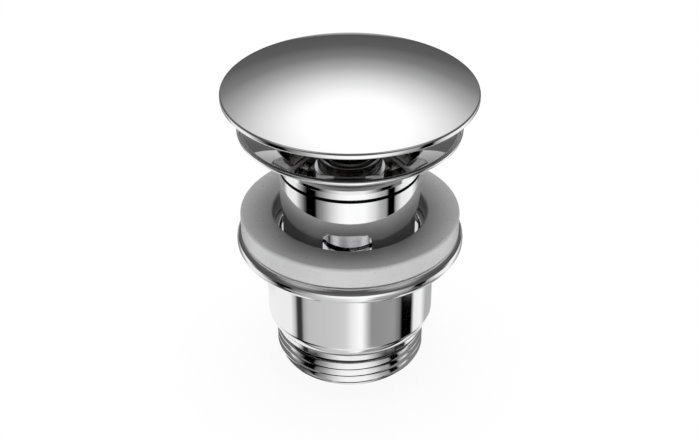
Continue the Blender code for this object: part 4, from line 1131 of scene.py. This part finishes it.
stopper_radius, stopper_foot, stopper_top = extent("stopper_seal")
TAPER_RISE = 0.97
SEAL_GAP = 0.3  # between the plate and the rubber round it
stopper_outline = [
    (PLATE + SEAL_GAP, stopper_foot, 0.2),
    (DISH_FOOT_RADIUS, stopper_foot, 0.2),
    (stopper_radius, stopper_foot + TAPER_RISE, 0.35),
    (stopper_radius, stopper_top, 0.35),
    (PLATE + SEAL_GAP, stopper_top, 0.2),
    (PLATE + SEAL_GAP, plate_top),
    (tongue_radius + SEAL_GAP, plate_top),
    (tongue_radius + SEAL_GAP, plate_top - TONGUE_GROOVE),
    (PLATE + SEAL_GAP, plate_top - TONGUE_GROOVE),
]
stopper_ring = as_object(turned(stopper_outline), "rubber_stopper_ring")
complete(stopper_ring, "cap", rubber, "stopper_seal")

# %% [markdown]
# ## The studio
#
# Chrome needs a studio more than it needs lamps. The waste stands on a plain white floor. Round
# it hangs a light tent, a large sphere that only reflections see: a soft round light behind and
# above with two weaker ones in front, which fill the dome with a gradient, and upright panels
# lower down, white with black and grey strips between them, which draw the upright bands on
# tube and cylinder. The lamps and the world light what is not metal, and the tent adds nothing.

# %% Floor
FLOOR_SIZE = 3.0
bm = bmesh.new()
bmesh.ops.create_grid(bm, x_segments=8, y_segments=8, size=FLOOR_SIZE / 2)
bmesh.ops.translate(bm, verts=bm.verts, vec=(0, 0, -0.05 * MM))
floor = as_object(bm, "studio_floor")
floor.visible_glossy = False


def by_ray(tree, share, plain, seen, end):
    """Camera, glossy and transmitted rays get a share of one shader, and all others the plain one."""
    path = tree.nodes.new("ShaderNodeLightPath")
    total = path.outputs["Is Camera Ray"]
    for output in ("Is Glossy Ray", "Is Transmission Ray"):
        total = math_node(tree, "MAXIMUM", total, path.outputs[output])
    mix = tree.nodes.new("ShaderNodeMixShader")
    feed(tree, mix.inputs, (math_node(tree, "MULTIPLY", total, share), plain.outputs[0], seen.outputs[0]))
    tree.links.new(mix.outputs[0], tree.nodes.new(end).inputs["Surface"])


def bare_material(name):
    """A material whose node tree is empty."""
    material = bpy.data.materials.new(name)
    material.use_nodes = True
    material.node_tree.nodes.clear()
    return material


FLOOR_GLOW = 0.93  # share of the floor that is plain white, the rest takes light and shadow
white_floor = bare_material("white_floor")
tree = white_floor.node_tree
paint = tree.nodes.new("ShaderNodeBsdfDiffuse")
paint.inputs["Color"].default_value = (0.9, 0.9, 0.9, 1)
glow = tree.nodes.new("ShaderNodeEmission")
by_ray(tree, FLOOR_GLOW, paint, glow, "ShaderNodeOutputMaterial")
white_floor.cycles.emission_sampling = "NONE"
floor.data.materials.append(white_floor)
print("floor", FLOOR_SIZE, "m")

# %% World
WORLD_LIGHT = 0.03
world = bpy.data.worlds.new("studio_world")
bpy.context.scene.world = world
world.use_nodes = True
tree = world.node_tree
tree.nodes.clear()
light = tree.nodes.new("ShaderNodeBackground")
light.inputs["Strength"].default_value = WORLD_LIGHT
light.inputs["Color"].default_value = (1, 1, 1, 1)
backdrop = tree.nodes.new("ShaderNodeBackground")
backdrop.inputs["Color"].default_value = (1, 1, 1, 1)
by_ray(tree, 1.0, light, backdrop, "ShaderNodeOutputWorld")
print("world light", WORLD_LIGHT)

# %% [markdown]
# The tent's light is a function of direction alone. Its height above the horizon chooses
# between the round lights above and three belts of upright strips below, which tube,
# cylinder and the tail's thread reflect. A belt is a list of compass directions, counted from
# the camera to the right, each with its brightness.

# %% Light tent
TENT_RADIUS = 2.5
TENT_FOOT = 0.6  # brightness straight below
MAIN_LIGHT = (3.0, 57.0)  # (compass from behind to the right, height) in degrees
SIDE_LIGHTS = ((122.0, 50.0), (238.0, 50.0))
SOFT_FALL = (
    (0, 1.15), (10, 1.12), (15, 1.0), (22, 0.74), (30, 0.42),
    (38, 0.21), (48, 0.11), (62, 0.09), (74, 0.08), (100, 0.09), (118, 0.14), (135, 0.22),
)
SIDE_FALL = ((0, 0.5), (12, 0.4), (24, 0.1), (32, 0.0))
TUBE_BELT = (
    (-180, 0.45), (-135, 0.3), (-122, 0.9), (-98, 0.85), (-88, 0.4), (-79, 0.1), (-74, 0.0), (-58, 0.0),
    (-54, 0.16), (-46, 0.28), (-39, 0.42), (-30, 0.66), (-16, 0.95), (-4, 1.05), (24, 1.03), (40, 0.76),
    (50, 0.46), (61, 0.32), (65, 0.0), (76, 0.0), (80, 0.4), (92, 0.85), (118, 0.97), (150, 0.2),
    (180, 0.45),
)
BODY_BELT = (
    (-180, 0.9), (-90, 0.9), (-82, 0.5), (-78, 0.04), (-71, 0.04), (-67, 0.4), (-60, 0.54), (-20, 0.6),
    (-6, 0.66), (2, 0.85), (13, 1.03), (17, 1.0), (25, 0.5), (30, 0.28), (64, 0.32), (73, 0.18),
    (77, 0.0), (95, 0.0), (101, 0.9), (117, 0.95), (131, 0.45), (165, 0.45), (180, 0.9),
)
THREAD_BELT = (
    (-180, 0.9), (-125, 0.9), (-100, 0.5), (-86, 0.0), (-55, 0.0), (-30, 0.6), (-15, 0.9), (25, 0.9),
    (50, 0.15), (58, 0.0), (74, 0.0), (84, 0.2), (105, 0.2), (130, 0.9), (180, 0.9),
)
SKY_EDGE = (-9.0, -4.0)  # heights in degrees between which one light blends into the next
TUBE_EDGE = (-35.9, -33.9)
THREAD_EDGE = (-38.45, -38.05)
THREAD_END = (-50.0, -44.0)
FOOT_EDGE = (-78.0, -66.0)


def tent_ramp(tree, signal, stops):
    """A colour ramp through (position, brightness) stops."""
    ramp = tree.nodes.new("ShaderNodeValToRGB")
    elements = ramp.color_ramp.elements
    while len(elements) < len(stops):
        elements.new(0.5)
    for element, (position, _) in zip(elements, stops):
        element.position = position
    for element, (_, value) in zip(elements, stops):
        element.color = (value, value, value, 1)
    tree.links.new(signal, ramp.inputs["Fac"])
    return ramp.outputs["Color"]


def blend_over(tree, signal, edge, low, high):
    """Goes smoothly from one brightness to another while the signal crosses the edge."""
    rise = tree.nodes.new("ShaderNodeMapRange")
    rise.interpolation_type = "SMOOTHSTEP"
    feed(tree, rise.inputs, (signal, *edge))
    mix = tree.nodes.new("ShaderNodeMix")
    mix.data_type = "FLOAT"
    feed(tree, (mix.inputs[0], mix.inputs[2], mix.inputs[3]), (rise.outputs["Result"], low, high))
    return mix.outputs[0]


tent_cloth = bare_material("tent_cloth")
tree = tent_cloth.node_tree
direction = tree.nodes.new("ShaderNodeVectorMath")
direction.operation = "NORMALIZE"
tree.links.new(object_place(tree)[0], direction.inputs[0])
parts = tree.nodes.new("ShaderNodeSeparateXYZ")
tree.links.new(direction.outputs[0], parts.inputs[0])
height = math_node(tree, "DEGREES", math_node(tree, "ARCSINE", parts.outputs["Z"]))
towards = math_node(tree, "MULTIPLY", parts.outputs["Y"], -1.0)
compass = math_node(tree, "DIVIDE", math_node(tree, "ARCTAN2", parts.outputs["X"], towards), tau)
compass = math_node(tree, "ADD", compass, 0.5)


def round_light(tree, where, fall):
    """A soft round light, brightest at its centre."""
    around, above = radians(where[0]), radians(where[1])
    dot = tree.nodes.new("ShaderNodeVectorMath")
    dot.operation = "DOT_PRODUCT"
    dot.inputs[1].default_value = (sin(around) * cos(above), cos(around) * cos(above), sin(above))
    tree.links.new(direction.outputs[0], dot.inputs[0])
    away = math_node(tree, "DIVIDE", math_node(tree, "ARCCOSINE", dot.outputs["Value"]), pi)
    return tent_ramp(tree, away, [(angle / 180, value) for angle, value in fall])


soft = round_light(tree, MAIN_LIGHT, SOFT_FALL)
for where in SIDE_LIGHTS:
    soft = math_node(tree, "MAXIMUM", soft, round_light(tree, where, SIDE_FALL))

belts = []
for belt in (TUBE_BELT, BODY_BELT, THREAD_BELT):
    belts.append(tent_ramp(tree, compass, [(start / 360 + 0.5, value) for start, value in belt]))
tube_belt, body_belt, thread_belt = belts
below = blend_over(tree, height, TUBE_EDGE, body_belt, tube_belt)
below = blend_over(tree, height, THREAD_EDGE, thread_belt, below)
below = blend_over(tree, height, THREAD_END, body_belt, below)
below = blend_over(tree, height, FOOT_EDGE, TENT_FOOT, below)
whole = blend_over(tree, height, SKY_EDGE, below, soft)
shine = tree.nodes.new("ShaderNodeEmission")
tree.links.new(whole, shine.inputs["Strength"])
output = tree.nodes.new("ShaderNodeOutputMaterial")
tree.links.new(shine.outputs[0], output.inputs["Surface"])
tent_cloth.cycles.emission_sampling = "NONE"

bm = bmesh.new()
bmesh.ops.create_icosphere(bm, subdivisions=5, radius=TENT_RADIUS)
tent = as_object(bm, "light_tent")
tent.data.materials.append(tent_cloth)
tent.visible_camera = False
tent.visible_diffuse = False
tent.visible_shadow = False
tent.visible_transmission = False
print("light tent of radius", TENT_RADIUS, "m")

# %% Lamps
AIM = (0, 0, 0.04)
LAMPS = (
    ("top_light", (0.0, 0.05, 0.85), 0.7, 10.0),
    ("left_light", (-0.8, -0.2, 0.04), 0.3, 1.6),
    ("right_light", (0.8, -0.2, 0.04), 0.3, 1.6),
    ("front_light", (0.0, -0.9, 0.02), 0.3, 4.5),
)
for name, where, size, power in LAMPS:
    lamp = bpy.data.objects.new(name, bpy.data.lights.new(name, "AREA"))
    lamp.data.shape = "DISK"
    lamp.data.size = size
    lamp.data.energy = power
    lamp.location = where
    lamp.rotation_euler = (Vector(AIM) - Vector(where)).to_track_quat("-Z", "Y").to_euler()
    lamp.visible_glossy = False
    bpy.context.scene.collection.objects.link(lamp)
    print(name, power, "W")

# %% Colour management
bpy.context.scene.view_settings.view_transform = "Standard"
